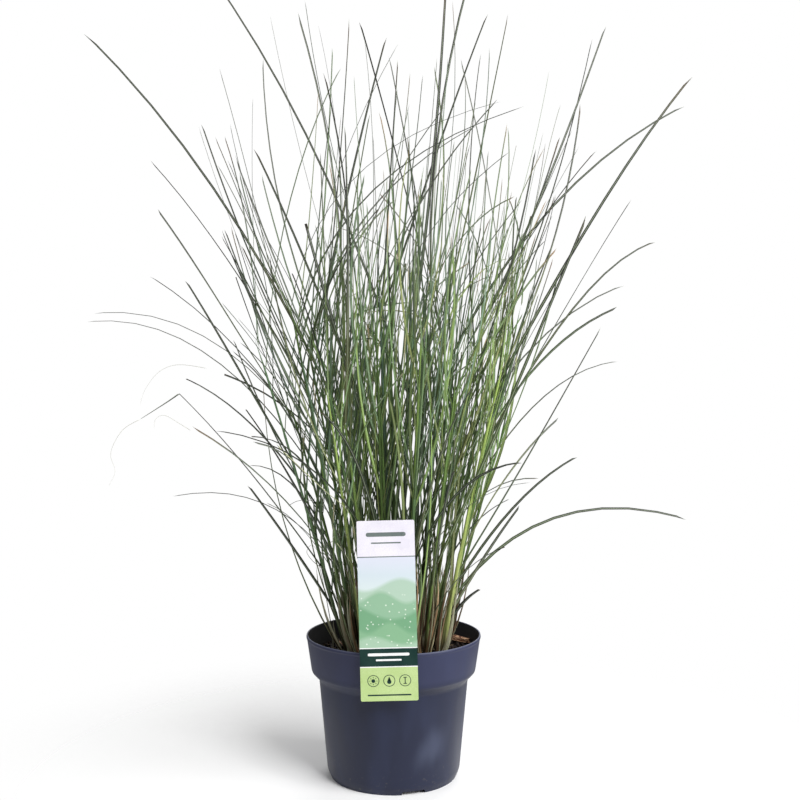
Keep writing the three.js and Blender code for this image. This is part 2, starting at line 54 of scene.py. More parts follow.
# Pot, in millimetres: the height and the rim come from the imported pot
POT_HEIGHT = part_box("pot")[1].z / MM
RIM_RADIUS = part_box("pot")[1].x / MM
BAND_HEIGHT = 38
BAND_FOOT_RADIUS = 89.3
SHOULDER_HEIGHT = 9
BODY_TOP_RADIUS = 81
BODY_FOOT_RADIUS = 72
FOOT_ROUNDING = 8
FOOT_RING_WIDTH = 5
POT_WALL = 1.4
LIP_EDGE = 0.4
FLOOR_CLEARANCE = 5
FLOOR_FLARE = 2
PAD_RADIUS = 16
NOTCH_COUNT = 3
NOTCH_WIDTH = 25
NOTCH_HEIGHT = 4
NOTCH_DEPTH = 28
NOTCH_CORNER = 1.5
NOTCH_TURN = math.radians(-72)
DRAIN_COUNT = 6
DRAIN_RADIUS = 5
DRAIN_CIRCLE = 42
POT_STEPS = 120

# Compost
SOIL_TOP = 132
SOIL_EDGE = BAND_FOOT_RADIUS + 0.66
SOIL_STEPS = 90
SOIL_RINGS = 26
# Its foot, and its side up to its edge as (radius, height), just inside the pot's wall
SOIL_FOOT_RADIUS = 66
SOIL_SIDE = ((69.6, 11), (78.6, 108), (86, 118))
# How wide the clods and crumbs of its top are, and how far they stand out
CLOD_SIZE = 20
CLOD_RISE = 2.2
CRUMB_SIZE = 6
CRUMB_RISE = 1.1
CRUMB_COUNT = 900
FIBRE_COUNT = 130
GRIT_COUNT = 90
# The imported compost's edge, from which its own chips keep away
PACKED_SOIL_EDGE = SOIL_EDGE - 1.05
BARK_COUNT = 9
BARK_SIZE = (15, 6, 3.4)
SMALL_BARK_COUNT = 26
# The chip that lies by the wall at the right: its middle, its sides and its turn
LONG_CHIP_AT = (73, 42, 137)
LONG_CHIP_SIZE = (33, 8, 4)
LONG_CHIP_TURN = math.radians(-40)

# Label
CARD_WIDTH = 58
CARD_HEIGHT = 182
CARD_FOOT = 106.5
CARD_THICKNESS = 0.8
CARD_X = -5.5
CARD_LEAN = math.radians(1.4)
LEANING = Matrix.Rotation(-CARD_LEAN, 4, "Y")
CARD_CORNER = 1.6
CARD_BACK = -RIM_RADIUS - 0.3
STAKE_WIDTH = 20
STAKE_FOOT = 96
STAKE_TOP_Y = -89.5
STAKE_FOOT_Y = -70
BRIDGE_TOP = POT_HEIGHT + 0.3 + CARD_THICKNESS
# Height of a layer of ink, more than the real one so that each layer stays clear of the one below
INK = 0.06
PICTURE_HEIGHT = 91
# The card's printed bands from its foot up, each with its height
CARD_BANDS = (
    ("card_light_green", 34),
    ("card_white", 1),
    ("card_dark_green", 18),
    ("card_white", 1),
    ("card_picture", PICTURE_HEIGHT),
    ("card_grey", 1),
    ("card_lilac", 36),
)
PICTURE_FOOT = CARD_FOOT + sum(height for _, height in CARD_BANDS[:4])
PRINT_INKS = ("card_grey", "card_dark_green", "card_white", "card_light_green")
# Bars of print: the middle (x, z) of each on the card, its width, height, corner radius and ink
PRINTED_BARS = (
    (0, 168, 40, 4.2, 2.0, "card_grey"),
    (0, 159.5, 30, 1.4, 0.6, "card_grey"),
    (0, 47, 42, 2.8, 1.3, "card_white"),
    (0, 41.4, 26, 1.8, 0.8, "card_white"),
    (0, 6, 44, 1.5, 0.7, "card_dark_green"),
)
# The three round signs, the sun's rays, and the bars that draw the sun, the drop and the rule
SIGNS_X = (-16, 0, 16)
SIGNS_Z = 20.5
SUN_RAYS = 8
SUN_REACH = 3.5
SIGN_BARS = (
    (-16, 20.5, 3.8, 3.8, 1.8),
    (0, 19.4, 4.4, 4.4, 2.1),
    (0, 21.6, 2.6, 3, 1.2),
    (0, 23.4, 1, 2, 0.45),
    (16, 20.5, 0.9, 6.6, 0.4),
    (16, 17.4, 3.6, 0.8, 0.35),
    (16, 23.6, 3.6, 0.8, 0.35),
)

# Seeds of the noise that breaks up crumbs and chips, and of the clump's growth
NOISE_SEED = 7
GROWTH_SEED = 272

# Stems
ROD_ROOM = 4000
STEM_COUNT = 44
STEM_SINK = 26
STEM_STEPS = 4
STEM_LENGTH = (300, 430)
STEM_BOW = (2, 19.5)
STEM_RADIUS = (2.2, 3)
STEM_TIP_RADIUS = 1.2
STEM_MARGIN = 1.5
CROWN_RADIUS = 52
CROWN_X = 3.5
LEAN_INNER = 1.5
LEAN_OUTER = 12.5
GOLDEN_ANGLE = math.pi * (3 - math.sqrt(5))

# Leaves
LEAVES_PER_STEM = 7
LOWEST_LEAF = 0.12
LONG_LEAF_WIDTH = (3.4, 4.8)
LEAF_WIDTH = (2.9, 3.9)
LEAF_LENGTH = (223, 370)
TRIMMED_SHARE = 0.25
TRIMMED_TAPER = (0.55, 0.8)
ARCHING_LEAVES = 2
LEAF_MARGIN = 0.5
LEAF_THICKNESS = 0.85
LEAF_COLLAR = 0.05
LEAF_PARTING = 0.35
LEAF_CHECKS = 32
LEAF_SPARE = 1.02
PLACING_TRIES = 40
NEAR_STEMS = 6
LEAF_ROOTS = [LOWEST_LEAF + 0.04 * i for i in range(22)]
LEAF_RISE = 20
ROOT_PULL = 0.1
CLUMP_REACH = 66
CLUMP_SPREAD = 0.14
CLUMP_EDGE = (0.75, 1.2)
CLUMP_DRIFT = 0.09
CARD_BERTH = 9
RIM_BERTH = 6

# Long outer leaves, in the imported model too: where each leaves its stem (x, z), its tip (x, y, z),
# how far it droops, and how much of its full taper it keeps, under 1 where its end is trimmed
LONG_LEAVES = (
    (-85, 405, -340, 20, 810, 0.10, 1),
    (-30, 485, -215, 70, 900, 0.06, 1),
    (-80, 410, -250, -60, 655, 0.10, 1),
    (-95, 385, -265, 40, 620, 0.14, 1),
    (-100, 325, -210, -80, 530, 0.08, 1),
    (-95, 340, -285, 90, 550, 0.12, 1),
    (-100, 365, -320, -20, 500, 0.38, 1),
    (-105, 350, -350, 60, 495, 0.30, 1),
    (-105, 330, -205, 100, 795, 0.04, 1),
    (-110, 430, -195, -70, 690, 0.06, 1),
    (-55, 460, -135, -120, 655, 0.06, 1),
    (-55, 460, -145, 30, 785, 0.05, 1),
    (-65, 430, -115, 120, 865, 0.05, 1),
    (-95, 385, -45, -60, 800, 0.04, 1),
    (50, 485, -40, 90, 845, 0.05, 1),
    (-95, 485, -10, 140, 845, 0.06, 1),
    (5, 460, 5, -140, 735, 0.05, 1),
    (-60, 460, -70, -100, 740, 0.04, 1),
    (35, 485, 60, 60, 895, 0.03, 1),
    (50, 470, 80, -40, 850, 0.03, 1),
    (-10, 520, 110, 110, 860, 0.06, 1),
    (-40, 480, -45, -150, 670, 0.04, 1),
    (95, 485, 240, 60, 830, 0.10, 1),
    (85, 480, 200, -110, 655, 0.10, 1),
    (85, 375, 325, 10, 760, 0.14, 1),
    (95, 485, 335, 80, 745, 0.10, 1),
    (105, 355, 245, -60, 615, 0.08, 1),
    (95, 350, 295, 50, 585, 0.38, 1),
    (115, 410, 190, -100, 590, 0.08, 1),
    (120, 375, 270, 100, 540, 0.30, 1),
    (105, 375, 235, -40, 505, 0.16, 1),
    (95, 265, 220, -30, 485, 0.05, 1),
    (100, 320, 255, 60, 450, 0.26, 1),
    (65, 205, 190, -60, 350, 0.16, 1),
    (60, 190, 314, -20, 280, 0.22, 1),
    (85, 250, 190, 70, 385, 0.08, 1),
    (70, 195, 130, -70, 300, 0.04, 1),
    (80, 245, 130, 40, 295, 0.10, 1),
    (-65, 205, -225, -40, 415, 0.06, 0.8),
    (-90, 295, -235, 50, 430, 0.14, 1),
    (-75, 235, -210, -70, 380, 0.10, 1),
    (-75, 230, -245, 20, 300, 0.20, 1),
    (-65, 180, -150, -60, 320, 0.0, 1),
    (-85, 280, -145, -110, 400, 0.06, 0.7),
    (-65, 285, -135, -140, 375, 0.20, 0.7),
    (-100, 340, -195, 80, 435, 0.12, 0.75),
    (-110, 405, -170, -20, 540, 0.04, 0.7),
    (-105, 405, -180, 60, 595, 0.04, 0.7),
    (-105, 405, -185, 110, 565, 0.05, 0.7),
    (-70, 410, -95, -150, 530, 0.02, 0.65),
    (-50, 460, -90, -60, 590, 0.03, 0.65),
    (-50, 515, -15, -90, 595, 0.03, 0.6),
    (0, 480, -5, -60, 560, 0.02, 0.6),
    (65, 160, 90, -50, 210, 0.02, 0.8),
)

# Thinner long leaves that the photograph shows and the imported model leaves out: where each leaves
# the clump (x, z), its tip (x, y, z), how far it droops, and 1 for a thread-like pale one
LOOSE_LEAVES = (
    (-115, 475, -200, -60, 690, 0.06, 1),
    (-160, 485, -160, 60, 750, 0, 1),
    (-50, 520, -145, 100, 855, 0.05, 1),
    (-80, 575, -90, 120, 850, 0.03, 1),
    (-75, 515, 5, 60, 810, 0.03, 0),
    (-40, 560, -30, -40, 785, 0.02, 1),
    (35, 560, -5, 20, 785, 0.03, 0),
    (-20, 555, -20, -80, 675, 0.02, 1),
    (-45, 535, 135, -60, 710, 0.04, 0),
    (-50, 580, 120, 40, 740, 0.02, 0),
    (-30, 505, 105, -90, 710, 0, 0),
    (-10, 480, 118, -80, 660, 0.03, 0),
    (120, 520, 230, 90, 825, 0.04, 0),
    (125, 560, 190, -20, 695, 0.06, 1),
    (125, 530, 75, 50, 790, 0.04, 0),
    (85, 530, 100, 80, 805, 0.02, 0),
    (30, 515, 45, -60, 760, 0.03, 0),
    (-35, 550, 95, 70, 720, 0, 0),
    (-45, 485, 55, -20, 720, 0, 0),
    (90, 480, 145, -70, 665, 0.05, 0),
    (70, 495, 130, -90, 610, 0.06, 0),
)

# Loose thin growth, each as its points (x, y, z), its width, and its colours as paint gives them
WISPS = (
    # The creased leaf's end, which hangs from its crease at the left
    (((-225, -40, 415), (-238, -40, 406), (-252, -40, 397), (-266, -40, 388)), 2.0, (0.3, 0.0, 1.0)),
    # The pale blade that crosses the clump at the card's upper left corner
    (((-120, -70, 363), (-95, -72, 339), (-70, -74, 316), (-44, -78, 292), (-37, -82, 252)), 1.7,
     (0.9, 0.5, 0.0)),
    (((-58, -70, 262), (-49, -80, 252), (-40, -85, 240)), 1.3, (0.9, 0.6, 0.0)),
    # A thin lone stem at the left, and dark curls above it
    (((-64, -20, 132), (-66, -20, 160), (-73, -20, 200), (-81, -20, 237)), 1.8, (0.4, 0.3, 0.9)),
    (((-70, -62, 232), (-82, -66, 242), (-89, -66, 252), (-84, -64, 259), (-78, -62, 252)), 0.9,
     (0.2, 0.3, 1.0)),
    (((-66, -58, 244), (-74, -60, 254), (-60, -64, 264), (-42, -66, 272)), 1.3, (0.2, 0.2, 0.9)),
    # Pale curled threads at the far left
    (((-266, -40, 388), (-286, -36, 376), (-300, -30, 352), (-296, -28, 332), (-303, -28, 316)), 0.5,
     (0.6, 1.0, 0.0)),
    (((-208, 30, 442), (-240, 30, 446), (-262, 32, 438), (-278, 34, 418), (-284, 34, 400)), 0.5,
     (0.6, 1.0, 0.0)),
    (((-213, -40, 376), (-226, -40, 384), (-240, -42, 392), (-250, -40, 388), (-252, -38, 378)), 0.5,
     (0.6, 1.0, 0.0)),
    (((34, -74, 238), (44, -78, 252), (40, -80, 266), (52, -80, 274), (60, -76, 268)), 0.8,
     (0.2, 0.4, 1.0)),
)

# The finer shape of stems and leaves
STEM_SIDES = 8
BLADE_SIDES = 4
BLADE_ROWS = 13
BLADE_END = 0.97
BLADE_WIDTH = (0.45, 0.98)
LONG_BLADE_WIDTH = (0.68, 1.0)
BLADE_SKIN = 0.32
STEM_SLIMNESS = 0.78
FINE_LEAVES = 5
FINE_LENGTH = (180, 345)
FINE_WIDTH = (1.5, 2.5)
THREAD_WIDTH = (0.8, 1.1)
CROSSING_LEAVES = 2
CROSSING_LENGTH = (200, 330)
BASE_SHOOTS = 2
CORE_RADIUS = 32
CORE_SHOOTS = 6
BASAL_SHEATHS = 6
SHEATH_ROOT = 0.055
SHEATH_HEIGHT = (24, 125)
SHEATH_WIDTH = (4.0, 7.0)
SHOOT_ROOT = 0.05
SHOOT_WIDTH = (2.0, 3.6)
# Tips (x, z) of long leaves that end blunt and dark, of those that are thin and pale, and of those
# that turn their full width to the viewer
BLUNT_TIPS = ((-235, 430), (-225, 415))
PALE_TIPS = ((-195, 690), (-205, 795), (-145, 785))
BROAD_TIPS = ((-340, 810), (-215, 900), (325, 760), (335, 745), (240, 830), (314, 280), (190, 350))
# The one thick pale stem at the front right
STOUT_STEM = 39

# Studio, in metres: the floor's fade by distance from the pot, the surround's strength as a light,
# each soft light's place, side and power, and the photograph's camera, fitted to the pot's rim and foot
FLOOR_RADIUS = 3.0
FLOOR_FADE = (0.1, 0.55)
SURROUND_LIGHT = 0.3
SOFTBOXES = (
    ("key_softbox", (1.1, -1.7, 2.0), 1.0, 60),
    ("right_softbox", (1.7, -0.8, 0.8), 0.9, 28),
    ("left_softbox", (-1.7, -0.9, 0.9), 0.9, 6),
    ("back_softbox", (0.4, 1.8, 1.6), 1.5, 20),
)
SOFTBOX_TARGET = (0, 0, 0.35)
CAMERA_AT = (0.007, -1.2, 0.432)
CAMERA_DIP = 0.0206
CAMERA_LENS = 49.68
CAMERA_SENSOR = 36

# Inputs of a Mix node that blends two colours, and the settings that make it one
FACTOR, FIRST, SECOND = 0, 6, 7
COLOURS = {"data_type": "RGBA", "give": 2}


def linear(code):
    """The linear colour of an sRGB hex code."""
    parts = [int(code[i:i + 2], 16) / 255 for i in (1, 3, 5)]
    return (*(c / 12.92 if c <= 0.04045 else ((c + 0.055) / 1.055) ** 2.4 for c in parts), 1)


def plug(tree, node, inputs):
    """Sets a node's inputs, by name or in their order, to outputs, hex codes or other values."""
    for key, value in inputs.items() if isinstance(inputs, dict) else enumerate(inputs):
        if isinstance(value, bpy.types.NodeSocket):
            tree.links.new(value, node.inputs[key])
        else:
            node.inputs[key].default_value = linear(value) if isinstance(value, str) else value


def add(tree, kind, inputs=(), stops=(), give=0, **settings):
    """Adds a node with its settings, its inputs and a ramp's stops, and gives one of its outputs."""
    made = tree.nodes.new("ShaderNode" + kind)
    for name, value in settings.items():
        setattr(made, name, value)
    plug(tree, made, inputs)
    for number, (place, code) in enumerate(stops):
        elements = made.color_ramp.elements
        stop = elements[number] if number < 2 else elements.new(place)
        stop.position = place
        stop.color = linear(code)
    return made.outputs[give]


def finish_of(name):
    """A new material and its node tree."""
    material = bpy.data.materials.new(name)
    material.use_nodes = True
    return material, material.node_tree


def dressed(material, **surface):
    """The material, with these outputs and values on its shader's own inputs."""
    tree = material.node_tree
    named = {name.replace("_", " "): value for name, value in surface.items()}
    plug(tree, tree.nodes["Principled BSDF"], named)
    return material


def grass_skin(name, ribs, gloss, fineness, contrast):
    """Skin of living grass. Its colour runs from grey-green to yellow-green and, where it has died,
    from straw to red-brown. Fine veins run along it, and a leaf has a silvery rib down its middle."""
    material, tree = finish_of(name)
    growth = add(tree, "Attribute", attribute_name="growth").node.outputs
    # Its alpha is each leaf's own lightness with painted shade and painted light from the clump's depth and
    # foot
    lightness = growth["Alpha"]
    tone, dry, dusk = add(tree, "SeparateColor", (growth["Color"],)).node.outputs
    place = add(tree, "UVMap", uv_map="blade")
    # A leaf is about 0.35 m long and 9 mm round and a stem 16 mm, so 22 streaks on a leaf are 0.4 mm
    # wide and 60 mm long, and 7 on a stem are 2 mm wide, like the edges of its wrapped sheaths
    stretched = add(tree, "VectorMath", (place, (fineness, 6, 1)), operation="MULTIPLY")
    streaks = add(tree, "TexNoise", {"Vector": stretched, "Scale": 1, "Detail": 3})
    living = add(tree, "ValToRGB", (tone,),
                 stops=((0, "#66826a"), (0.4, "#648446"), (0.7, "#809a4d"), (1, "#a6ae68")))
    dim = add(tree, "Mix", {FACTOR: dusk, FIRST: living, SECOND: "#4d4d4b"}, **COLOURS)
    dead = add(tree, "ValToRGB", (dusk,), stops=((0, "#c6bfa6"), (0.5, "#ab8462"), (1, "#64402f")))
    patchy = add(tree, "MapRange", (streaks, 0.35, 0.65, 0.55, 1.25))
    died = add(tree, "Math", (dry, patchy), operation="MULTIPLY", use_clamp=True)
    body = add(tree, "Mix", {FACTOR: died, FIRST: dim, SECOND: dead}, **COLOURS)
    # 1 on the rib and 0 at the leaf's two margins, on its upper and lower face alike
    turn = add(tree, "SeparateXYZ", (place,))
    inward = add(tree, "Math", (turn, 0.25), operation="PINGPONG")
    across = add(tree, "Math", (inward, 4.0), operation="MULTIPLY")
    # Four or five veins between each margin and the rib, about 0.3 mm apart
    waves = add(tree, "Math", (across, 28.0), operation="MULTIPLY")
    veins = add(tree, "Math", (waves,), operation="SINE")
    veined = add(tree, "MapRange", (veins, -1.0, 1.0, 0.84, 1.1))
    shade = add(tree, "MapRange", (streaks, 0.3, 0.7, 1 - contrast, 1 + contrast))
    both = add(tree, "Math", (veined, shade), operation="MULTIPLY")
    full = add(tree, "Math", (both, lightness), operation="MULTIPLY")
    colour = add(tree, "Mix", {FACTOR: 1.0, FIRST: body, SECOND: full}, blend_type="MULTIPLY", **COLOURS)
    if ribs:
        rib = add(tree, "MapRange", (across, 0.68, 0.92, 0.0, 0.5))
        margin = add(tree, "MapRange", (across, 0.0, 0.09, 0.45, 0.0))
        for share, code in ((rib, "#b4c4a2"), (margin, "#5d5242")):
            colour = add(tree, "Mix", {FACTOR: share, FIRST: colour, SECOND: code}, **COLOURS)
    dull = add(tree, "MapRange", (streaks, 0.3, 0.7, gloss - 0.1, gloss + 0.14))
    # The reflection weakens with the lightness, which holds painted shade as well as each leaf's own tone:
    # growth in the dark has nothing bright to mirror
    sheen = add(tree, "MapRange", (lightness, 0.1, 0.7, 0.03, 0.5))
    bump = add(tree, "Bump", {"Strength": 0.35, "Distance": 0.2 * MM, "Height": veins})
    return dressed(material, Base_Color=colour, Roughness=dull, IOR=1.42, Specular_IOR_Level=sheen,
                   Normal=bump)


def moulded_pot():
    """Blue-black polypropylene, injection moulded with a satin skin. It has a faint grain, a chalky
    bloom in soft patches, a pale slanting painted reflection on its front, and dried splashes near its foot."""
    material, tree = finish_of("satin_polypropylene")
    place = add(tree, "TexCoord", give="Object")
    height = add(tree, "SeparateXYZ", (place,), give="Z")
    # Patches about 40 mm across and 110 mm long, which slant as a wiping hand leaves them
    slant = add(tree, "Mapping", {"Vector": place, "Rotation": (0.0, 0.7, 0.3), "Scale": (26, 26, 9)})
    patches = add(tree, "TexNoise", {"Vector": slant, "Scale": 1, "Detail": 2.5})
    bloom = add(tree, "MapRange", (patches, 0.46, 0.66, 0.0, 0.55))
    # Painted reflection: a pale slanting patch that ends 40 mm along and 20 mm across from its middle
    painted_reflection_place = add(tree, "Mapping", {"Vector": place, "Location": (0.038, -0.07, 0.047),
                                      "Rotation": (0.0, 0.62, 0.0), "Scale": (0.018, 0.06, 0.036)},
                    vector_type="TEXTURE")
    from_painted_reflection = add(tree, "VectorMath", (painted_reflection_place,), operation="LENGTH", give="Value")
    uneven = add(tree, "Math", (patches, -2.2, from_painted_reflection), operation="MULTIPLY_ADD")
    painted_reflection = add(tree, "MapRange", (uneven, -1.1, 0.0, 0.5, 0.0), interpolation_type="SMOOTHSTEP")
    # The band is lighter from its shoulder up, and the lip's top edge carries a painted highlight
    band = add(tree, "MapRange", (height, (POT_HEIGHT - BAND_HEIGHT - 4) * MM,
                                  (POT_HEIGHT - BAND_HEIGHT + 6) * MM, 0.0, 0.42))
    painted_lip_highlight = add(tree, "MapRange", (height, (POT_HEIGHT - 1.2) * MM, POT_HEIGHT * MM, 0.0, 0.5))
    # Dried splashes 2 to 4 mm across, thick at the foot and gone 35 mm up
    drops = add(tree, "TexNoise", {"Vector": place, "Scale": 240, "Detail": 4, "Roughness": 0.65})
    spots = add(tree, "MapRange", (drops, 0.60, 0.72, 0.0, 0.7))
    low = add(tree, "MapRange", (height, 35 * MM, 0.0, 0.0, 1.0))
    splash = add(tree, "Math", (spots, low), operation="MULTIPLY")
    colour = "#161c34"
    for share, code in ((bloom, "#262d48"), (painted_reflection, "#454c62"), (band, "#3a3e5e"), (painted_lip_highlight, "#666a80"),
                        (splash, "#5c5852")):
        colour = add(tree, "Mix", {FACTOR: share, FIRST: colour, SECOND: code}, **COLOURS)
    dull = add(tree, "MapRange", (patches, 0.35, 0.65, 0.36, 0.5))
    # The mould's spark-eroded grain is about 0.3 mm, drawn at 0.8 mm so that it shows
    grain = add(tree, "TexNoise", {"Vector": place, "Scale": 1250, "Detail": 2})
    bump = add(tree, "Bump", {"Strength": 0.12, "Distance": 0.2 * MM, "Height": grain})
    return dressed(material, Base_Color=colour, Roughness=dull, IOR=1.42, Normal=bump)


def moist_compost():
    """Moist potting compost of peat and bark fines: near black, crumbly, with brown fibres."""
    material, tree = finish_of("moist_compost")
    place = add(tree, "TexCoord", give="Object")
    fines = add(tree, "TexNoise", {"Vector": place, "Scale": 420, "Detail": 5, "Roughness": 0.7})
    colour = add(tree, "ValToRGB", (fines,),
                 stops=((0.32, "#0d0908"), (0.5, "#1b1310"), (0.62, "#33221b"), (0.72, "#5a4030")))
    # Wetter and drier spots about 17 mm across
    wet = add(tree, "TexNoise", {"Vector": place, "Scale": 60, "Detail": 2})
    dull = add(tree, "MapRange", (wet, 0.35, 0.65, 0.7, 0.98))
    bump = add(tree, "Bump", {"Strength": 0.8, "Distance": 1 * MM, "Height": fines})
    return dressed(material, Base_Color=colour, Roughness=dull, IOR=1.4, Normal=bump)


def pine_bark():
    """Chipped pine bark: red-brown cork in layers, torn to tan fibres at its ends."""
    material, tree = finish_of("pine_bark")
    place = add(tree, "TexCoord", give="Object")
    # Layers of cork about 1 mm thick
    layers = add(tree, "TexWave", {"Vector": place, "Scale": 150, "Distortion": 9, "Detail": 3,
                                   "Detail Scale": 1.6}, give=1, bands_direction="Z")
    torn = add(tree, "TexNoise", {"Vector": place, "Scale": 160, "Detail": 4})
    mixed = add(tree, "Math", (layers, torn), operation="MULTIPLY")
    colour = add(tree, "ValToRGB", (mixed,),
                 stops=((0.05, "#5a3526"), (0.2, "#8c6046"), (0.36, "#b58a68"), (0.58, "#d6b392")))
    bump = add(tree, "Bump", {"Strength": 0.7, "Distance": 0.6 * MM, "Height": mixed})
    return dressed(material, Base_Color=colour, Roughness=0.85, IOR=1.45, Normal=bump)


def speckled(name, dark, light, size, rough):
    """A crumb or thread of one stuff, whose colour varies from dark to light in spots of a size in
    millimetres."""
    material, tree = finish_of(name)
    place = add(tree, "TexCoord", give="Object")
    spots = add(tree, "TexNoise", {"Vector": place, "Scale": 1 / (size * MM), "Detail": 3})
    colour = add(tree, "ValToRGB", (spots,), stops=((0.35, dark), (0.65, light)))
    return dressed(material, Base_Color=colour, Roughness=rough)


def printed_card(name, code, faded):
    """Offset print on polypropylene sheet under a clear varnish: even ink with a faint screen of dots
    and a soft cloudiness, and a gloss that shows where the sheet bends."""
    material, tree = finish_of(name)
    place = add(tree, "TexCoord", give="Object")
    # The screen is about 0.15 mm on the real card, drawn at 0.7 mm so that it shows
    screen = add(tree, "TexNoise", {"Vector": place, "Scale": 1400, "Detail": 1})
    cloud = add(tree, "TexNoise", {"Vector": place, "Scale": 45, "Detail": 2})
    uneven = add(tree, "Math", (screen, cloud), operation="MULTIPLY")
    share = add(tree, "MapRange", (uneven, 0.16, 0.36, 0.0, 1.0))
    ink = add(tree, "Mix", {FACTOR: share, FIRST: code, SECOND: faded}, **COLOURS)
    dull = add(tree, "MapRange", (cloud, 0.3, 0.7, 0.26, 0.42))
    return dressed(material, Base_Color=ink, Roughness=dull, IOR=1.49)


def printed_meadow():
    """A plain printed view on the card: pale sky over rolling mint-green hills with soft dots."""
    material, tree = finish_of("card_picture")
    place = add(tree, "TexCoord", give="Object")
    centred = add(tree, "Mapping", {"Vector": place, "Location": (-CARD_X * MM, 0, -PICTURE_FOOT * MM)})
    # Across and up the picture, in shares of its width and height
    parts = add(tree, "SeparateXYZ", (centred,)).node.outputs
    x = add(tree, "Math", (parts["X"], 1 / (CARD_WIDTH * MM)), operation="MULTIPLY")
    z = add(tree, "Math", (parts["Z"], 1 / (PICTURE_HEIGHT * MM)), operation="MULTIPLY")
    colour = add(tree, "ValToRGB", (z,), stops=((0.45, "#dce8e2"), (0.8, "#cfdbe2"), (1.0, "#d9dcea")))
    # Each hill's level and swell in shares of the picture's height, its waves and their shift
    hills = ((0.72, 0.07, 5.0, 0.4, "#acc8b2"), (0.58, 0.06, 7.0, 2.4, "#8db695"),
             (0.42, 0.08, 4.0, 4.4, "#71a37c"), (0.24, 0.06, 8.0, 1.2, "#88b48e"),
             (0.10, 0.04, 6.0, 3.1, "#a9c7ae"))
    for level, swell, length, shift, code in hills:
        turn = add(tree, "Math", (x, length, shift), operation="MULTIPLY_ADD")
        wave = add(tree, "Math", (turn,), operation="SINE")
        ridge = add(tree, "Math", (wave, swell, level), operation="MULTIPLY_ADD")
        below = add(tree, "Math", (ridge, z), operation="SUBTRACT")
        mask = add(tree, "MapRange", (below, 0.0, 0.05, 0.0, 0.9))
        colour = add(tree, "Mix", {FACTOR: mask, FIRST: colour, SECOND: code}, **COLOURS)
    # Dots of blossom about 1.5 mm across, scattered 5 mm apart over the hills
    dots = add(tree, "TexVoronoi", {"Vector": centred, "Scale": 200}, give="Distance")
    blossom = add(tree, "MapRange", (dots, 0.12, 0.18, 0.75, 0.0))
    ground = add(tree, "MapRange", (z, 0.5, 0.66, 1.0, 0.0))
    shown = add(tree, "Math", (blossom, ground), operation="MULTIPLY")
    dotted = add(tree, "Mix", {FACTOR: shown, FIRST: colour, SECOND: "#eef4ea"}, **COLOURS)
    return dressed(material, Base_Color=dotted, Roughness=0.34, IOR=1.49)


# Each printed colour of the card, fully inked and where the ink is thin
CARD_INKS = {
    "card_white": ("#e9ebec", "#f2f3f2"),
    "card_lilac": ("#e4e0ec", "#eeebf2"),
    "card_grey": ("#66726f", "#707c79"),
    "card_dark_green": ("#082c28", "#10352f"),
    "card_light_green": ("#b2ca85", "#bed394"),
}

MATERIALS = {
    "blade": grass_skin("leaf_blade", True, 0.46, 22, 0.3),
    "sheath": grass_skin("leaf_sheath", False, 0.4, 7, 0.6),
    "pot": moulded_pot(),
    # The pot's inside: the same plastic, painted nearly black as shade
    "pot_inside": speckled("painted_shade_polypropylene", "#050506", "#111116", 12, 0.5),
    "compost": moist_compost(),
    "bark": pine_bark(),
    # Fine roots and peat threads: dry, dull and pale brown against the wet compost
    "fibre": speckled("root_fibre", "#6b5138", "#b39a78", 3, 0.8),
    # Perlite: expanded volcanic glass, chalk white and full of pores
    "grit": speckled("perlite", "#a59c8c", "#dcd6c8", 1.2, 0.9),
    "card_picture": printed_meadow(),
    **{name: printed_card(name, *inks) for name, inks in CARD_INKS.items()},
}


def placed(bm, name):
    """A new object in the scene whose mesh is a bmesh."""
    mesh = bpy.data.meshes.new(name)
    bm.to_mesh(mesh)
    bm.free()
    made = bpy.data.objects.new(name, mesh)
    bpy.context.scene.collection.objects.link(made)
    return made


def piece_from(bm, name, materials, slot, *nodes, bend=None):
    """Makes a piece of the part from a bmesh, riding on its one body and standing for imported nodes.
    Edges that bend by more than bend degrees are sharp."""
    for face in bm.faces:
        face.smooth = True
    if bend is not None:
        for edge in bm.edges:
            if len(edge.link_faces) == 2 and edge.calc_face_angle(0) > math.radians(bend):
                edge.smooth = False
    piece = placed(bm, name)
    for material in materials:
        piece.data.materials.append(MATERIALS[material])
    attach(piece, "root")
    if nodes:
        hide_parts(*nodes)


def block(bm, middle, size, turn=Matrix.Identity(4)):
    """Adds a block of a size (x, y, z), in millimetres, turned about its middle. Gives its vertices."""
    sides = Matrix.Diagonal((*(side * MM for side in size), 1))
    matrix = Matrix.Translation(Vector(middle) * MM) @ turn @ sides
    return bmesh.ops.create_cube(bm, size=1, matrix=matrix)["verts"]


def rounded(bm, edges, axis, size, corner, segments):
    """Rounds those of the edges that run along an axis for a size, and gives the new faces."""
    along = [e for e in edges if abs(e.verts[0].co[axis] - e.verts[1].co[axis]) > size / 2 * MM]
    return bmesh.ops.bevel(bm, geom=along, offset=corner * MM, affect="EDGES", segments=segments,
                           profile=0.5, material=-1)["faces"]


def turned(profile, steps):
    """A body turned from a profile, from axis to axis. Each corner of it has its radius and height in
    millimetres and, where it is rounded, the radius of its arc."""
    bm = bmesh.new()
    corners = [bm.verts.new((radius * MM, 0, height * MM)) for radius, height, *_ in profile]
    for first, second in zip(corners, corners[1:]):
        bm.edges.new((first, second))
    for corner, (_, _, *arc) in zip(corners, profile):
        if arc:
            bmesh.ops.bevel(bm, geom=[corner], offset=arc[0] * MM, offset_type="OFFSET",
                            affect="VERTICES", segments=4, profile=0.5, material=-1)
    bmesh.ops.spin(bm, geom=bm.verts[:] + bm.edges[:], cent=(0, 0, 0), axis=(0, 0, 1),
                   angle=2 * math.pi, steps=steps, use_merge=True)
    bmesh.ops.remove_doubles(bm, verts=bm.verts, dist=1e-6)
    bmesh.ops.recalc_face_normals(bm, faces=bm.faces)
    return bm


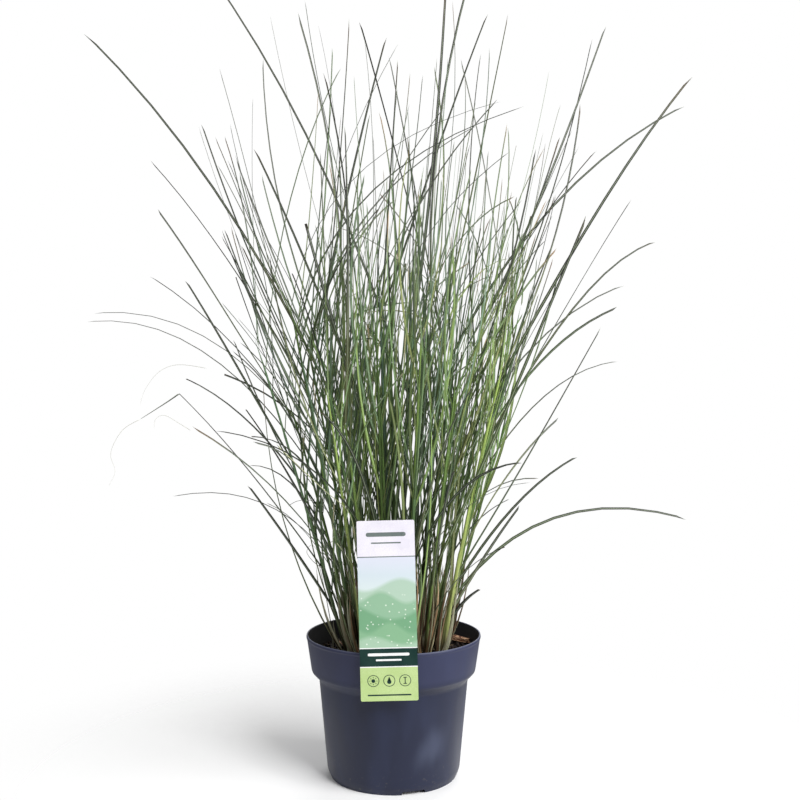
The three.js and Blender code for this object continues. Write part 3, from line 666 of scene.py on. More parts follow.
def cut_away(bm, tools):
    """The bmesh bm with every tool, another bmesh, cut out of it."""
    whole = placed(bm, "whole")
    parts = [placed(tool, "cutter") for tool in tools]
    for part in parts:
        cut = whole.modifiers.new("cut", "BOOLEAN")
        cut.operation = "DIFFERENCE"
        cut.solver = "EXACT"
        cut.object = part
    left = bmesh.new()
    left.from_object(whole, bpy.context.evaluated_depsgraph_get())
    for used in (whole, *parts):
        bpy.data.objects.remove(used)
    return left


def make_pot():
    """The pot: a turned shell, with the foot ring's notches and the drain holes cut out of it."""
    band_foot = POT_HEIGHT - BAND_HEIGHT
    body_top = band_foot - SHOULDER_HEIGHT
    ring_outer = BODY_FOOT_RADIUS - 0.45 * FOOT_ROUNDING
    ring_inner = ring_outer - FOOT_RING_WIDTH
    floor_top = FLOOR_CLEARANCE + POT_WALL
    profile = (
        (0, 0), (PAD_RADIUS, 0), (PAD_RADIUS + FLOOR_FLARE, FLOOR_CLEARANCE),
        (ring_inner - FLOOR_FLARE, FLOOR_CLEARANCE), (ring_inner, 0), (ring_outer, 0),
        (BODY_FOOT_RADIUS, FOOT_ROUNDING, 3), (BODY_TOP_RADIUS, body_top, 2.5),
        (BAND_FOOT_RADIUS - 0.6, band_foot - 0.8, 0.5), (BAND_FOOT_RADIUS, band_foot + 1, 0.7),
        (RIM_RADIUS - 0.8, POT_HEIGHT - 4, 0.6), (RIM_RADIUS, POT_HEIGHT - 2.5, 0.7),
        (RIM_RADIUS - LIP_EDGE, POT_HEIGHT, 0.35), (RIM_RADIUS - LIP_EDGE - POT_WALL, POT_HEIGHT, 0.5),
        (BAND_FOOT_RADIUS - POT_WALL, band_foot + POT_WALL),
        (BODY_TOP_RADIUS - POT_WALL, body_top + POT_WALL, 2),
        (BODY_FOOT_RADIUS - POT_WALL, FOOT_ROUNDING + POT_WALL, 3),
        (BODY_FOOT_RADIUS - POT_WALL - 3, floor_top), (PAD_RADIUS + 1, floor_top),
        (PAD_RADIUS - POT_WALL, POT_WALL), (0, POT_WALL),
    )
    tools = []
    for i in range(NOTCH_COUNT):
        notch = bmesh.new()
        block(notch, (BODY_FOOT_RADIUS, 0, 0), (NOTCH_DEPTH, NOTCH_WIDTH, 2 * NOTCH_HEIGHT))
        rounded(notch, notch.edges, 0, NOTCH_DEPTH, NOTCH_CORNER, 3)
        turn = Matrix.Rotation(NOTCH_TURN + 2 * math.pi * i / NOTCH_COUNT, 4, "Z")
        bmesh.ops.transform(notch, matrix=turn, verts=notch.verts)
        tools.append(notch)
    for i in range(DRAIN_COUNT):
        drain = bmesh.new()
        turn = Matrix.Rotation(2 * math.pi * (i + 0.5) / DRAIN_COUNT, 4, "Z")
        bmesh.ops.create_cone(drain, cap_ends=True, segments=28, radius1=DRAIN_RADIUS * MM,
                              radius2=DRAIN_RADIUS * MM, depth=4 * floor_top * MM,
                              matrix=turn @ Matrix.Translation((DRAIN_CIRCLE * MM, 0, 0)))
        tools.append(drain)
    bm = cut_away(turned(profile, POT_STEPS), tools)
    # The faces that look inwards, from the floor to the lip, carry painted shade
    for face in bm.faces:
        middle = face.calc_center_median()
        inward = middle.x * face.normal.x + middle.y * face.normal.y < -0.5 * middle.xy.length
        if inward and floor_top * MM < middle.z < (POT_HEIGHT - 1) * MM:
            face.material_index = 1
    piece_from(bm, "pot_shell", ("pot", "pot_inside"), "pot_plastic", "pot", bend=35)


def soil_height(x, y):
    """Height of the compost's top at a point, all in millimetres: clods, and crumbs on them."""
    clods = noise.noise(Vector((x / CLOD_SIZE, y / CLOD_SIZE, 0.3)))
    crumbs = noise.noise(Vector((x / CRUMB_SIZE, y / CRUMB_SIZE, 5.1)))
    return SOIL_TOP - 0.6 + CLOD_RISE * clods + CRUMB_RISE * crumbs


def make_compost():
    """The compost: one turned body that fills the pot, with a rough top."""
    top = [(SOIL_EDGE * (SOIL_RINGS - i) / SOIL_RINGS, SOIL_TOP) for i in range(SOIL_RINGS + 1)]
    floor = FLOOR_CLEARANCE + POT_WALL
    bm = turned([(0, floor), (SOIL_FOOT_RADIUS, floor), *SOIL_SIDE, *top], SOIL_STEPS)
    for vert in bm.verts:
        if vert.co.z > (SOIL_TOP - 1) * MM:
            vert.co.z = soil_height(vert.co.x / MM, vert.co.y / MM) * MM
    piece_from(bm, "compost_body", ("compost",), "compost", "compost")


def scattered(rng, inner, outer):
    """A random point (x, y) between two radii."""
    radius = math.sqrt(rng.uniform(inner * inner, outer * outer))
    angle = rng.uniform(0, 2 * math.pi)
    return radius * math.cos(angle), radius * math.sin(angle)


def turned_any_way(rng):
    """A random turn about all three axes."""
    turn = Matrix.Identity(4)
    for axis in "XYZ":
        turn = turn @ Matrix.Rotation(rng.uniform(0, 2 * math.pi), 4, axis)
    return turn


def make_crumbs(name, material, count, sizes, squash, seed, lean=0.0):
    """Loose crumbs that lie on the compost. lean is the share of them that is moved to the -X side."""
    rng = random.Random(seed)
    bm = bmesh.new()
    for _ in range(count):
        x, y = scattered(rng, 4, SOIL_EDGE - 4)
        if rng.random() < lean:
            x = -abs(x)
        size = rng.uniform(*sizes) * MM
        stretch = Matrix.Diagonal((1, rng.uniform(0.6, 1), rng.uniform(squash, 1), 1))
        at = Matrix.Translation((x * MM, y * MM, (soil_height(x, y) + 0.2) * MM + size * 0.3))
        bmesh.ops.create_icosphere(bm, subdivisions=1, radius=size, matrix=at @ turned_any_way(rng) @ stretch)
    for vert in bm.verts:
        vert.co += 0.25 * sizes[1] * MM * noise.noise_vector(vert.co / (2.2 * MM))
    piece_from(bm, name, (material,), "compost")


def bark_chip(bm, slab, sides, at, turn, rng):
    """One chip of bark at a place in millimetres: a copy of the unit slab with unevenly broken edges."""
    copy = bmesh.ops.duplicate(bm, geom=slab)["geom"]
    matrix = Matrix.Translation(Vector(at) * MM) @ turn
    shift = Vector([rng.uniform(0, 50) for _ in range(3)])
    for vert in (part for part in copy if isinstance(part, bmesh.types.BMVert)):
        ragged = noise.noise_vector(vert.co * 2.3 + shift)
        vert.co += Vector((0.16 * ragged.x, 0.22 * ragged.y, 0.2 * ragged.z))
        vert.co.z *= 1 - 0.5 * abs(vert.co.x) * abs(vert.co.y)
        vert.co = matrix @ Vector([c * side * MM for c, side in zip(vert.co, sides)])


def make_bark(draw):
    """Bark chips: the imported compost's own, drawn again with its numbers, and smaller ones."""
    bm = bmesh.new()
    bmesh.ops.create_cube(bm, size=1)
    bmesh.ops.subdivide_edges(bm, edges=bm.edges, cuts=2, use_grid_fill=True)
    slab_verts = bm.verts[:]
    slab = slab_verts + bm.edges[:] + bm.faces[:]
    rng = random.Random(5)
    for _ in range(BARK_COUNT):
        sides = [side * draw(0.7, 1.25) for side in BARK_SIZE]
        angle = draw(0, 2 * math.pi)
        distance = draw(CROWN_RADIUS + 8, PACKED_SOIL_EDGE - 13)
        turn = Matrix.Identity(4)
        for axis, low, high in (("X", -0.35, 0.35), ("Y", -0.2, 0.2), ("Z", 0, math.pi)):
            turn = Matrix.Rotation(draw(low, high), 4, axis) @ turn
        at = (distance * math.cos(angle), distance * math.sin(angle), SOIL_TOP + 0.6)
        bark_chip(bm, slab, sides, at, turn, rng)
    bark_chip(bm, slab, LONG_CHIP_SIZE, LONG_CHIP_AT, Matrix.Rotation(LONG_CHIP_TURN, 4, "Z"), rng)
    for _ in range(SMALL_BARK_COUNT):
        x, y = scattered(rng, 25, SOIL_EDGE - 7)
        long = rng.uniform(5, 15)
        sides = (long, long * rng.uniform(0.3, 0.55), rng.uniform(1.4, 3))
        turn = Matrix.Rotation(rng.uniform(0, math.pi), 4, "Z")
        turn = turn @ Matrix.Rotation(rng.uniform(-0.5, 0.5), 4, "Y")
        bark_chip(bm, slab, sides, (x, y, soil_height(x, y) + 1), turn, rng)
    bmesh.ops.delete(bm, geom=slab_verts)
    piece_from(bm, "bark_chips", ("bark",), "compost", bend=50)


def rolled(bm, sides, stations, place, paint, creases=(), open_tip=False, material=0):
    """Rolls a grid into a closed tube. place(side, t) gives a point in millimetres and paint(t) the
    skin's colours, with t from 0 at the root to 1 at the tip. creases are the sides whose lengthwise
    edges are sharp. The root is a point, and so is the tip unless it is open_tip, when it is a face."""
    uv = bm.loops.layers.uv["blade"]
    growth = bm.verts.layers.float_color["growth"]
    rows = len(stations) - 1
    verts = bmesh.ops.create_grid(bm, x_segments=sides, y_segments=rows, size=0.5, calc_uvs=True)["verts"]
    grid = [verts[row * (sides + 1):(row + 1) * (sides + 1)] for row in range(rows + 1)]
    weld = {}
    for t, line in zip(stations, grid):
        colours = paint(t)
        for side, vert in enumerate(line):
            vert.co = Vector(place(side % sides, t)) * MM
            vert[growth] = colours
            for corner in vert.link_loops:
                corner[uv].uv = (side / sides, t)
            for face in vert.link_faces:
                face.material_index = material
        if line is grid[0] or (line is grid[-1] and not open_tip):
            weld.update({vert: line[0] for vert in line[1:]})
        else:
            weld[line[-1]] = line[0]
    for below, above in zip(grid, grid[1:]):
        for side in range(sides + 1):
            if side % sides in creases:
                bm.edges.get((below[side], above[side])).smooth = False
    tip = grid[-1][:-1]
    bmesh.ops.weld_verts(bm, targetmap=weld)
    if open_tip:
        for face in bmesh.ops.contextual_create(bm, geom=tip)["faces"]:
            face.material_index = material
            for corner in face.loops:
                corner[uv].uv = (0.1, 1)


def grass_mesh():
    """An empty bmesh with the layers that the grass's materials read."""
    bm = bmesh.new()
    bm.loops.layers.uv.new("blade")
    bm.verts.layers.float_color.new("growth")
    return bm


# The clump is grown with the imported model's own rules and numbers, in millimetres, so that every
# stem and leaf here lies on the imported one
class Draws:
    """Repeatable random numbers from a to b."""

    def __init__(self, seed):
        self.seed = seed

    def __call__(self, a, b):
        self.seed = (self.seed * 1664525 + 1013904223) % 4294967296
        return a + ((b - a) * self.seed) / 4294967296


UP = np.array((0.0, 0.0, 1.0))


def unit(v):
    return v / math.sqrt(v @ v)


def clamp(v, low, high):
    return min(high, max(low, v))


def level_way(angle):
    """The level direction at an angle from +X."""
    return np.array((math.cos(angle), math.sin(angle), 0.0))


class Rods:
    """Round-ended rods that stand for everything placed so far, each with its half width and its stem.
    Rods of one stem may touch, apart from the loose ends of its leaves."""

    def __init__(self, room):
        self.ends = np.zeros((room, 2, 3))
        self.half = np.zeros(room)
        self.owner = np.zeros(room, int)
        self.loose = np.zeros(room, bool)
        self.count = 0

    def take(self, chain):
        for start, end, half, owner, loose in chain:
            self.ends[self.count] = start, end
            self.half[self.count] = half
            self.owner[self.count] = owner
            self.loose[self.count] = loose
            self.count += 1

    def clear_of(self, chain, margin):
        n = self.count
        r, s = self.ends[:n, 0], self.ends[:n, 1]
        for p, q, half, owner, loose in chain:
            u, v, w = q - p, s - r, p - r
            a, b, c = u @ u, v @ u, (v * v).sum(1)
            d, e = w @ u, (w * v).sum(1)
            det = a * c - b * b
            apart = det > 1e-9 * a * c
            first = np.where(apart, np.clip((b * e - c * d) / np.where(apart, det, 1), 0, 1), 0)
            t = np.clip((b * first + e) / c, 0, 1)
            k = np.clip((b * t - d) / a, 0, 1)
            gaps = np.sqrt(((w + k[:, None] * u - t[:, None] * v) ** 2).sum(1))
            held = (self.owner[:n] == owner) & ~(self.loose[:n] & loose)
            if not np.all(held | (gaps >= half + self.half[:n] + margin)):
                return False
        return True


def chain_of(points, halves, owner, held):
    return [(points[i], points[i + 1], max(halves[i], halves[i + 1]), owner, i >= held)
            for i in range(len(points) - 1)]


def even(count):
    return [i / count for i in range(count + 1)]


def stem_point(stem, u):
    return stem.base + stem.dir * (stem.length * u) + stem.bow * (u * u)


def stem_tangent(stem, u):
    return unit(stem.dir * stem.length + stem.bow * (2 * u))


def stem_radius(stem, u):
    return stem.radius + (STEM_TIP_RADIUS - stem.radius) * u


def is_blocked(point):
    """True in the card and the space before it, and near the pot's rim."""
    x, y, z = point
    by_card = abs(x - CARD_X) < CARD_WIDTH / 2 + CARD_BERTH and y < -RIM_RADIUS + CARD_BERTH
    if by_card and z < CARD_FOOT + CARD_HEIGHT + RIM_BERTH:
        return True
    return z < POT_HEIGHT + RIM_BERTH and math.hypot(x, y) > CROWN_RADIUS + 4 * RIM_BERTH


def place_stem(number):
    reach = CROWN_RADIUS * math.sqrt((number + 0.5) / STEM_COUNT)
    for _ in range(PLACING_TRIES):
        azimuth = number * GOLDEN_ANGLE + draw(-0.25, 0.25)
        heading = azimuth + draw(-0.35, 0.35)
        degrees = LEAN_INNER + ((LEAN_OUTER - LEAN_INNER) * reach) / CROWN_RADIUS + draw(-3, 3)
        behind_card = max(0, -math.sin(heading)) ** 4
        lean = math.radians(degrees * (1 - 0.7 * behind_card))
        length = draw(*STEM_LENGTH)
        bow = draw(*STEM_BOW)
        radius = draw(*STEM_RADIUS)
        face = draw(0, math.pi)
        out = level_way(heading)
        foot = (CROWN_X + reach * math.cos(azimuth), reach * math.sin(azimuth), SOIL_TOP - STEM_SINK)
        stem = SimpleNamespace(
            number=number, base=np.array(foot), dir=out * math.sin(lean) + UP * math.cos(lean),
            bow=out * bow - UP * 2, length=length, radius=radius, face=face, out=out, leaves=[])
        points = [stem_point(stem, u) for u in even(STEM_STEPS)]
        halves = [stem_radius(stem, u) for u in even(STEM_STEPS)]
        chain = chain_of(points, halves, number, len(points))
        blocked = any(is_blocked(stem_point(stem, u)) for u in even(LEAF_CHECKS))
        if not blocked and rods.clear_of(chain, STEM_MARGIN):
            rods.take(chain)
            return stem
    return None


def leaf_point(leaf, t):
    return leaf.root + (leaf.start * t + leaf.bend * (t * t) - UP * (leaf.droop * t ** 3)) * leaf.length


def leaf_tangent(leaf, t):
    return unit(leaf.start + leaf.bend * (2 * t) - UP * (3 * leaf.droop * t * t))


def leaf_half(leaf, t):
    s = t * leaf.taper
    taper = 1 - 0.93 * max(0, (s - 0.12) / 0.88) ** 2
    return leaf.width * 0.5 * (0.75 + 0.25 * min(1, s / 0.12)) * taper


def leaf_stations(leaf):
    turn = math.acos(clamp(leaf_tangent(leaf, 0) @ leaf_tangent(leaf, 1), -1, 1))
    count = clamp(math.floor(2.4 + turn * 3.2 + abs(leaf.twist) * 0.4 + 0.5), 3, 7)
    return [0, LEAF_COLLAR, *even(count)[1:]]


def make_leaf(stem, u, tip, droop, width, taper, roll, twist):
    root = stem_point(stem, u)
    tangent = stem_tangent(stem, u)
    to_tip = unit(tip - root)
    aside = unit(to_tip - tangent * (to_tip @ tangent))
    start = unit(tangent + aside * LEAF_PARTING)
    length = LEAF_SPARE * math.sqrt((tip - root) @ (tip - root))
    bend = (tip - root) / length - start + UP * droop
    return SimpleNamespace(root=root, start=start, bend=bend, droop=droop, length=length, width=width,
                           taper=taper, roll=roll, twist=twist, u=u, tip=tip, long=False)


def try_leaf(stem, leaf):
    if any(is_blocked(leaf_point(leaf, t)) for t in even(LEAF_CHECKS)):
        return False
    ts = leaf_stations(leaf)
    halves = [max(LEAF_THICKNESS, leaf_half(leaf, t)) for t in ts]
    chain = chain_of([leaf_point(leaf, t) for t in ts], halves, stem.number, 1)
    if not rods.clear_of(chain, LEAF_MARGIN):
        return False
    rods.take(chain)
    stem.leaves.append(leaf)
    return True


def place_long_leaf(stems, row):
    """A long leaf grows from the stem that best meets the line on which it comes out of the clump."""
    root_x, root_z, tip_x, tip_y, tip_z, droop, taper = row
    run = unit(unit(np.array((tip_x - root_x, 0, tip_z - root_z), float)) + UP * droop)
    near = []
    for stem in stems:
        if len(stem.leaves) >= LEAVES_PER_STEM:
            continue
        places = []
        for u in LEAF_ROOTS:
            x, y, z = stem_point(stem, u)
            off = (x - root_x) * run[2] - (z - root_z) * run[0]
            if root_z - z >= -LEAF_RISE:
                places.append((math.hypot(off, y - 0.35 * tip_y) + ROOT_PULL * (root_z - z), stem, u))
        if places:
            near.append(min(places, key=lambda place: place[0]))
    near.sort(key=lambda place: place[0])
    for _, stem, u in near[:NEAR_STEMS]:
        for attempt in range(6):
            width = draw(*LONG_LEAF_WIDTH)
            sway = draw(-30, 30)
            roll = draw(-0.9, 0.9)
            twist = draw(-1.2, 1.2)
            tip = np.array((tip_x, tip_y + (sway if attempt > 0 else 0), tip_z), float)
            leaf = make_leaf(stem, u, tip, droop, width, taper, roll, twist)
            leaf.long = True
            if try_leaf(stem, leaf):
                return


def clump_middle(height):
    return CROWN_X + CLUMP_DRIFT * (height - POT_HEIGHT)


def clump_reach(height):
    return CLUMP_REACH + CLUMP_SPREAD * (height - 300)


def gather(tip, edge):
    """Draws a tip in towards the clump's middle where it lies beyond the clump's reach times edge."""
    middle = clump_middle(tip[2])
    pull = min(1, clump_reach(tip[2]) * edge / math.hypot(tip[0] - middle, tip[1]))
    tip[0] = middle + (tip[0] - middle) * pull
    tip[1] *= pull


def fill_stem(stem):
    missing = LEAVES_PER_STEM - len(stem.leaves)
    for k in range(missing):
        share = (k + 0.5) / missing
        arching = k < ARCHING_LEAVES and abs(stem.out[1]) > 0.7 and stem.number > STEM_COUNT / 3
        for _ in range(PLACING_TRIES):
            u = clamp(0.16 + 0.84 * share + draw(-0.05, 0.05), LOWEST_LEAF, 1)
            side = stem.face + math.pi * k + draw(-0.7, 0.7)
            length = draw(*LEAF_LENGTH) * (0.8 + 0.3 * share)
            spread = draw(0.04, 0.5) * (1.15 - 0.5 * share)
            outward = draw(0, 0.1) + (draw(0.4, 1.0) if arching else 0)
            sag = draw(0, 0.12) * (1 + 2 * spread) + (0.08 if arching else 0)
            trimmed = draw(0, 1) < TRIMMED_SHARE
            kept = draw(*TRIMMED_TAPER)
            width = draw(*LEAF_WIDTH)
            roll = draw(-1.1, 1.1)
            twist = draw(-1.5, 1.5)
            root = stem_point(stem, u)
            taper = kept if trimmed else 1
            heading = unit(stem_tangent(stem, u) + level_way(side) * spread + stem.out * outward)
            tip = root + heading * (length * taper) - UP * (length * taper * sag)
            edge = draw(*CLUMP_EDGE)
            gather(tip, math.inf if arching else edge)
            leaf = make_leaf(stem, u, tip, sag * 1.3, width, taper, roll, twist)
            leaf.long = arching
            if try_leaf(stem, leaf):
                break


def grow_grass():
    stems = [stem for stem in map(place_stem, range(STEM_COUNT)) if stem]
    for row in LONG_LEAVES:
        place_long_leaf(stems, row)
    for stem in stems:
        fill_stem(stem)
    return stems


def blade_frame(leaf, t):
    """Middle, width direction and upper direction of a leaf at t."""
    run = leaf.start + leaf.bend
    level = unit(np.array((-run[1], run[0], 0.0)))
    tangent = leaf_tangent(leaf, t)
    upper = unit(np.cross(tangent, level))
    across = np.cross(upper, tangent)
    angle = leaf.roll + leaf.twist * t
    wide = across * math.cos(angle) + upper * math.sin(angle)
    above = upper * math.cos(angle) - across * math.sin(angle)
    return leaf_point(leaf, t), wide, above


def blade_half(leaf, t):
    """Half a blade's width at t: nearly even, as only the last 3 cm run out to a point."""
    s = t * leaf.taper
    taper = 1 - 0.42 * max(0, (s - 0.15) / 0.85) ** 1.5
    return leaf.width * 0.5 * (0.75 + 0.25 * min(1, s / 0.12)) * taper


def channel_point(leaf, side, t, half, depth, lift, skin):
    """A point on a leaf's channelled section. Sides 0 and 2 are its margins, a share lift of the
    depth above its middle line, and sides 1 and 3 its rib, on its upper and its lower face."""
    centre, wide, above = blade_frame(leaf, t)
    if side in (0, 2):
        return centre + wide * (half if side else -half) + above * (lift * depth)
    return centre - above * ((1 - lift) * depth + (skin if side == 3 else 0))


def part_way(value, start, end):
    """How far a value has come from its start to its end, from 0 to 1."""
    return clamp((value - start) / (end - start), 0, 1)


def painted_light(point):
    """How light the growth at a point is painted: painted shade deep inside the clump and at its foot,
    and painted light at the foot's front right, with a little painted shade high up and to the left."""
    x, y, z = point
    inside = clamp(1 - math.hypot(x - clump_middle(z), y) / clump_reach(z), 0, 1)
    low = part_way(z, 480, 260)
    foot = part_way(z, 340, 180)
    # Painted sunlight on the foot's front right
    painted_sunlight = part_way(x, 0, 60) * part_way(y, 20, -40)
    shaded = foot * max(0.42 * (1 - painted_sunlight), 0.6 * part_way(y, 0, 40))
    light = 1.02 - 0.96 * inside ** (0.5 - 0.15 * foot) * low
    return light * (1 - shaded) * (1 - 0.15 * part_way(z, 480, 580) - 0.12 * part_way(x, 0, -150))


def ageing(point):
    """How much the growth at a point has yellowed, near the compost, and greyed, high up and low down."""
    low = part_way(point[2], 330, 180)
    return 0.2 * low, 0.18 * low + 0.5 * part_way(point[2], 480, 730)


def add_blade(bm, leaf, tone, dry, dusk, lightness, scale=1.0):
    """One leaf: a channelled blade, folded round its stem at the root and flatter from there on.
    dry is how much of its tip has died, and a trimmed end is always brown."""
    trimmed = leaf.taper < 1

    def place(side, t):
        half = blade_half(leaf, t) * scale
        depth = half * (0.34 + 0.7 * math.exp(-t / 0.05))
        return channel_point(leaf, side, t, half, depth, 0.3, BLADE_SKIN * (0.4 + 0.6 * min(1, half)))

    def paint(t):
        died = clamp((t - (1 - 0.5 * dry)) / max(0.06, 0.3 * dry), 0, 1) if dry > 0 else 0
        if trimmed and t > BLADE_END:
            died = 0.6
        collar = 0.35 * math.exp(-t / 0.03)
        point = leaf_point(leaf, t)
        yellow, grey = ageing(point)
        tint = clamp(tone + collar * (1 - tone) + yellow, 0, 1)
        foot = part_way(point[2], SOIL_TOP + 52, SOIL_TOP + 12)
        shadow = clamp(max(dusk * (0.45 + t) + grey, 0.75 * foot), 0, 1)
        # Painted shade: the leaf's own lightness, dimmer deep in the clump and towards the compost, lighter
        # at the foot's front right
        light = lightness * painted_light(point) * (1 - 0.45 * foot)
        return tint, max(died, 0.25 * collar, 0.85 * foot), shadow, light

    stations = [0, 0.025, *even(BLADE_ROWS - 2)[1:-1], BLADE_END, 1]
    rolled(bm, BLADE_SIDES, stations, place, paint, creases=(0, 2), open_tip=trimmed)


def add_stem(bm, stem, tone, ruddy, girth, lightness):
    """One stem in its leaf sheaths. The sheath below each leaf ends at the leaf's collar, where the
    stem steps in, and old red-brown sheaths wrap its foot."""
    collars = sorted(leaf.u for leaf in stem.leaves)

    def swell(u):
        above = min((c for c in collars if c >= u - 1e-6), default=1.2)
        below = max((c for c in collars if c < u - 1e-6), default=0)
        return 0.86 + 0.24 * clamp((u - below) / max(0.02, above - below), 0, 1)

    def place(side, t):
        tangent = stem_tangent(stem, t)
        across = unit(np.cross(tangent, (0, 1, 0)))
        beside = np.cross(tangent, across)
        angle = 2 * math.pi * side / STEM_SIDES
        radius = STEM_SLIMNESS * stem_radius(stem, t) * swell(t) * (1 + (girth - 1) * (1 - t))
        return stem_point(stem, t) + (across * math.cos(angle) + beside * math.sin(angle)) * radius

    def paint(t):
        point = stem_point(stem, t)
        old = clamp(1.2 - (point[2] - SOIL_TOP) / (14 + 34 * ruddy), 0, 1)
        yellow, grey = ageing(point)
        worn = old * (0.6 + 0.4 * ruddy)
        # Painted shade: the stem's own lightness, dimmer deep in the clump and at its foot, and darker near
        # the compost
        light = lightness * painted_light(point) * (1 - 0.4 * old)
        return clamp(tone + yellow, 0, 1), old * (0.5 + 0.5 * ruddy), clamp(worn + grey, 0, 1), light

    # Rows just below and above each collar make the sheath's edge a sharp step
    steps = {round(u, 3) for u in even(12)}
    steps |= {round(collar + shift, 3) for collar in collars for shift in (-0.004, 0.006)}
    stations = sorted(u for u in steps if 0 <= u <= 1)
    rolled(bm, STEM_SIDES, stations, place, paint, material=1)


def add_basal_sheath(bm, stem, rng, ruddy):
    """A dead sheath that stands open round the stem's foot, papery and split to a point."""
    aside = level_way(rng.uniform(0, 2 * math.pi))
    height = rng.uniform(*SHEATH_HEIGHT)
    tip = stem_point(stem, SHEATH_ROOT) + stem_tangent(stem, 0) * height + aside * rng.uniform(2, 9)
    leaf = make_leaf(stem, SHEATH_ROOT, tip, rng.uniform(0, 0.06), rng.uniform(*SHEATH_WIDTH), 1,
                     rng.uniform(-0.5, 0.5), rng.uniform(-0.8, 0.8))
    leaf.root = leaf.root + aside * stem.radius * 0.7
    dusk = clamp(ruddy + height / 180 + rng.uniform(-0.65, 0.35), 0, 1)
    light = rng.uniform(0.3, 1.5) * (1 - 0.45 * dusk)

    def place(side, t):
        half = leaf_half(leaf, t) * (1 - 0.4 * t)
        return channel_point(leaf, side, t, half, half * 0.8, 0.5, 0.25)

    def paint(t):
        return 0.6, 0.95, dusk * (1 - 0.4 * t), light

    rolled(bm, BLADE_SIDES, even(6), place, paint, creases=(0, 2))


def in_core(stem):
    return math.hypot(stem.base[0] - CROWN_X, stem.base[1]) < CORE_RADIUS


def base_shoot(stem, rng):
    """A young leaf that stands close to its stem from the foot up. Those in the clump's core are
    short, and so many that no light comes through between the stems' feet."""
    aside = level_way(rng.uniform(0, 2 * math.pi))
    u = rng.uniform(0.2, 0.45) if in_core(stem) else rng.uniform(0.35, 0.95)
    tip = stem_point(stem, u) + aside * rng.uniform(3, 12)
    leaf = make_leaf(stem, SHOOT_ROOT, tip, rng.uniform(0, 0.03), rng.uniform(*SHOOT_WIDTH), 1,
                     rng.uniform(-1.5, 1.5), rng.uniform(-1, 1))
    leaf.root = leaf.root + aside * stem.radius * 0.8
    return leaf


def thin_leaf(stem, u, tip, sag, rng):
    """A leaf of a fine leaf's width that sags, with its roll and its twist left to chance."""
    width = rng.uniform(*FINE_WIDTH)
    return make_leaf(stem, u, tip, sag * 1.3, width, 1, rng.uniform(-1.2, 1.2), rng.uniform(-2, 2))


def fine_leaf(stem, rng):
    """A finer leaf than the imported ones, which fills the clump between them."""
    u = rng.uniform(0.33, 1)
    side = rng.uniform(0, 2 * math.pi)
    length = rng.uniform(*FINE_LENGTH) * (1.1 - 0.3 * u)
    spread = abs(rng.gauss(0, 0.45))
    heading = unit(stem_tangent(stem, u) + level_way(side) * spread + stem.out * rng.uniform(0, 0.12))
    sag = rng.uniform(0, 0.12) * (1 + 2 * spread)
    tip = stem_point(stem, u) + heading * length - UP * (length * sag)
    tip[2] = min(tip[2], rng.uniform(500, 680) + clamp(tip[0], -30, 130))
    gather(tip, rng.uniform(*CLUMP_EDGE))
    return thin_leaf(stem, u, tip, sag, rng)


def crossing_leaf(stem, rng):
    """A thin leaf that leans out of the clump to its left or right, across the other leaves."""
    u = rng.uniform(0.55, 1)
    outward = math.copysign(1, stem.base[0] - CROWN_X + rng.gauss(0, 25))
    aside = unit(np.array((outward, rng.gauss(0, 0.45), 0.0)))
    heading = unit(stem_tangent(stem, u) + aside * rng.uniform(0.15, 0.6))
    length = rng.uniform(*CROSSING_LENGTH)
    sag = rng.uniform(0.02, 0.12)
    tip = stem_point(stem, u) + heading * length - UP * (length * sag)
    tip[0] = clamp(tip[0], -175, 100 + 0.12 * tip[2])
    tip[2] = min(tip[2], 620 + 0.9 * abs(tip[0]))
    return thin_leaf(stem, u, tip, sag, rng)


def best_stem(stems, row):
    """The stem, and the place on it, that best meets the line on which a loose leaf leaves the clump."""
    root_x, root_z, tip_x, tip_y, tip_z, droop, _ = row
    run = unit(unit(np.array((tip_x - root_x, 0, tip_z - root_z), float)) + UP * droop)

    def miss(place):
        x, y, z = stem_point(*place)
        off = (x - root_x) * run[2] - (z - root_z) * run[0]
        return math.hypot(off, y - 0.35 * tip_y) + ROOT_PULL * abs(root_z - z)

    return min(((stem, u) for stem in stems for u in LEAF_ROOTS), key=miss)


def loose_leaf(row, stem, u, rng):
    """A long leaf of LOOSE_LEAVES."""
    _, _, tip_x, tip_y, tip_z, droop, thread = row
    width = rng.uniform(*(THREAD_WIDTH if thread else FINE_WIDTH))
    tip = np.array((tip_x, tip_y, tip_z), float)
    return make_leaf(stem, u, tip, droop, width, 1, rng.uniform(-1.2, 1.2), rng.uniform(-1.2, 1.2))


def is_open(leaf):
    return not any(is_blocked(leaf_point(leaf, t)) for t in even(12))


def ends_at(leaf, tips):
    """True where a leaf's tip is one of these (x, z)."""
    return any(abs(leaf.tip[0] - x) < 1 and abs(leaf.tip[2] - z) < 1 for x, z in tips)


def add_packed_leaf(bm, leaf, tone, rng):
    """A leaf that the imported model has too, in a narrower and finer shape."""
    dusk = rng.uniform(0.65, 1) if leaf.long else rng.uniform(0, 0.2)
    dry = rng.choice((0, 0, 0, 0, 0.12, 0.25)) if leaf.taper == 1 else 0
    shade = clamp(tone + rng.gauss(0, 0.2), 0, 1)
    light = rng.uniform(0.36, 0.86) if leaf.long else rng.uniform(0.5, 1.4)
    scale = rng.uniform(*(LONG_BLADE_WIDTH if leaf.long else BLADE_WIDTH))
    if leaf.long and leaf.droop > 0.25 or not leaf.long and leaf.tip[2] > 640:
        scale *= 0.65
    if ends_at(leaf, BLUNT_TIPS):
        leaf.taper, dusk, dry = 0.7, 1.0, 0
    if ends_at(leaf, PALE_TIPS):
        dusk, dry, light, scale = 0.6, 0, 1.1, 0.5
    if ends_at(leaf, BROAD_TIPS):
        leaf.roll, leaf.twist, scale = 1.3, 0.2, 0.8
    add_blade(bm, leaf, shade, dry, dusk, light, scale)


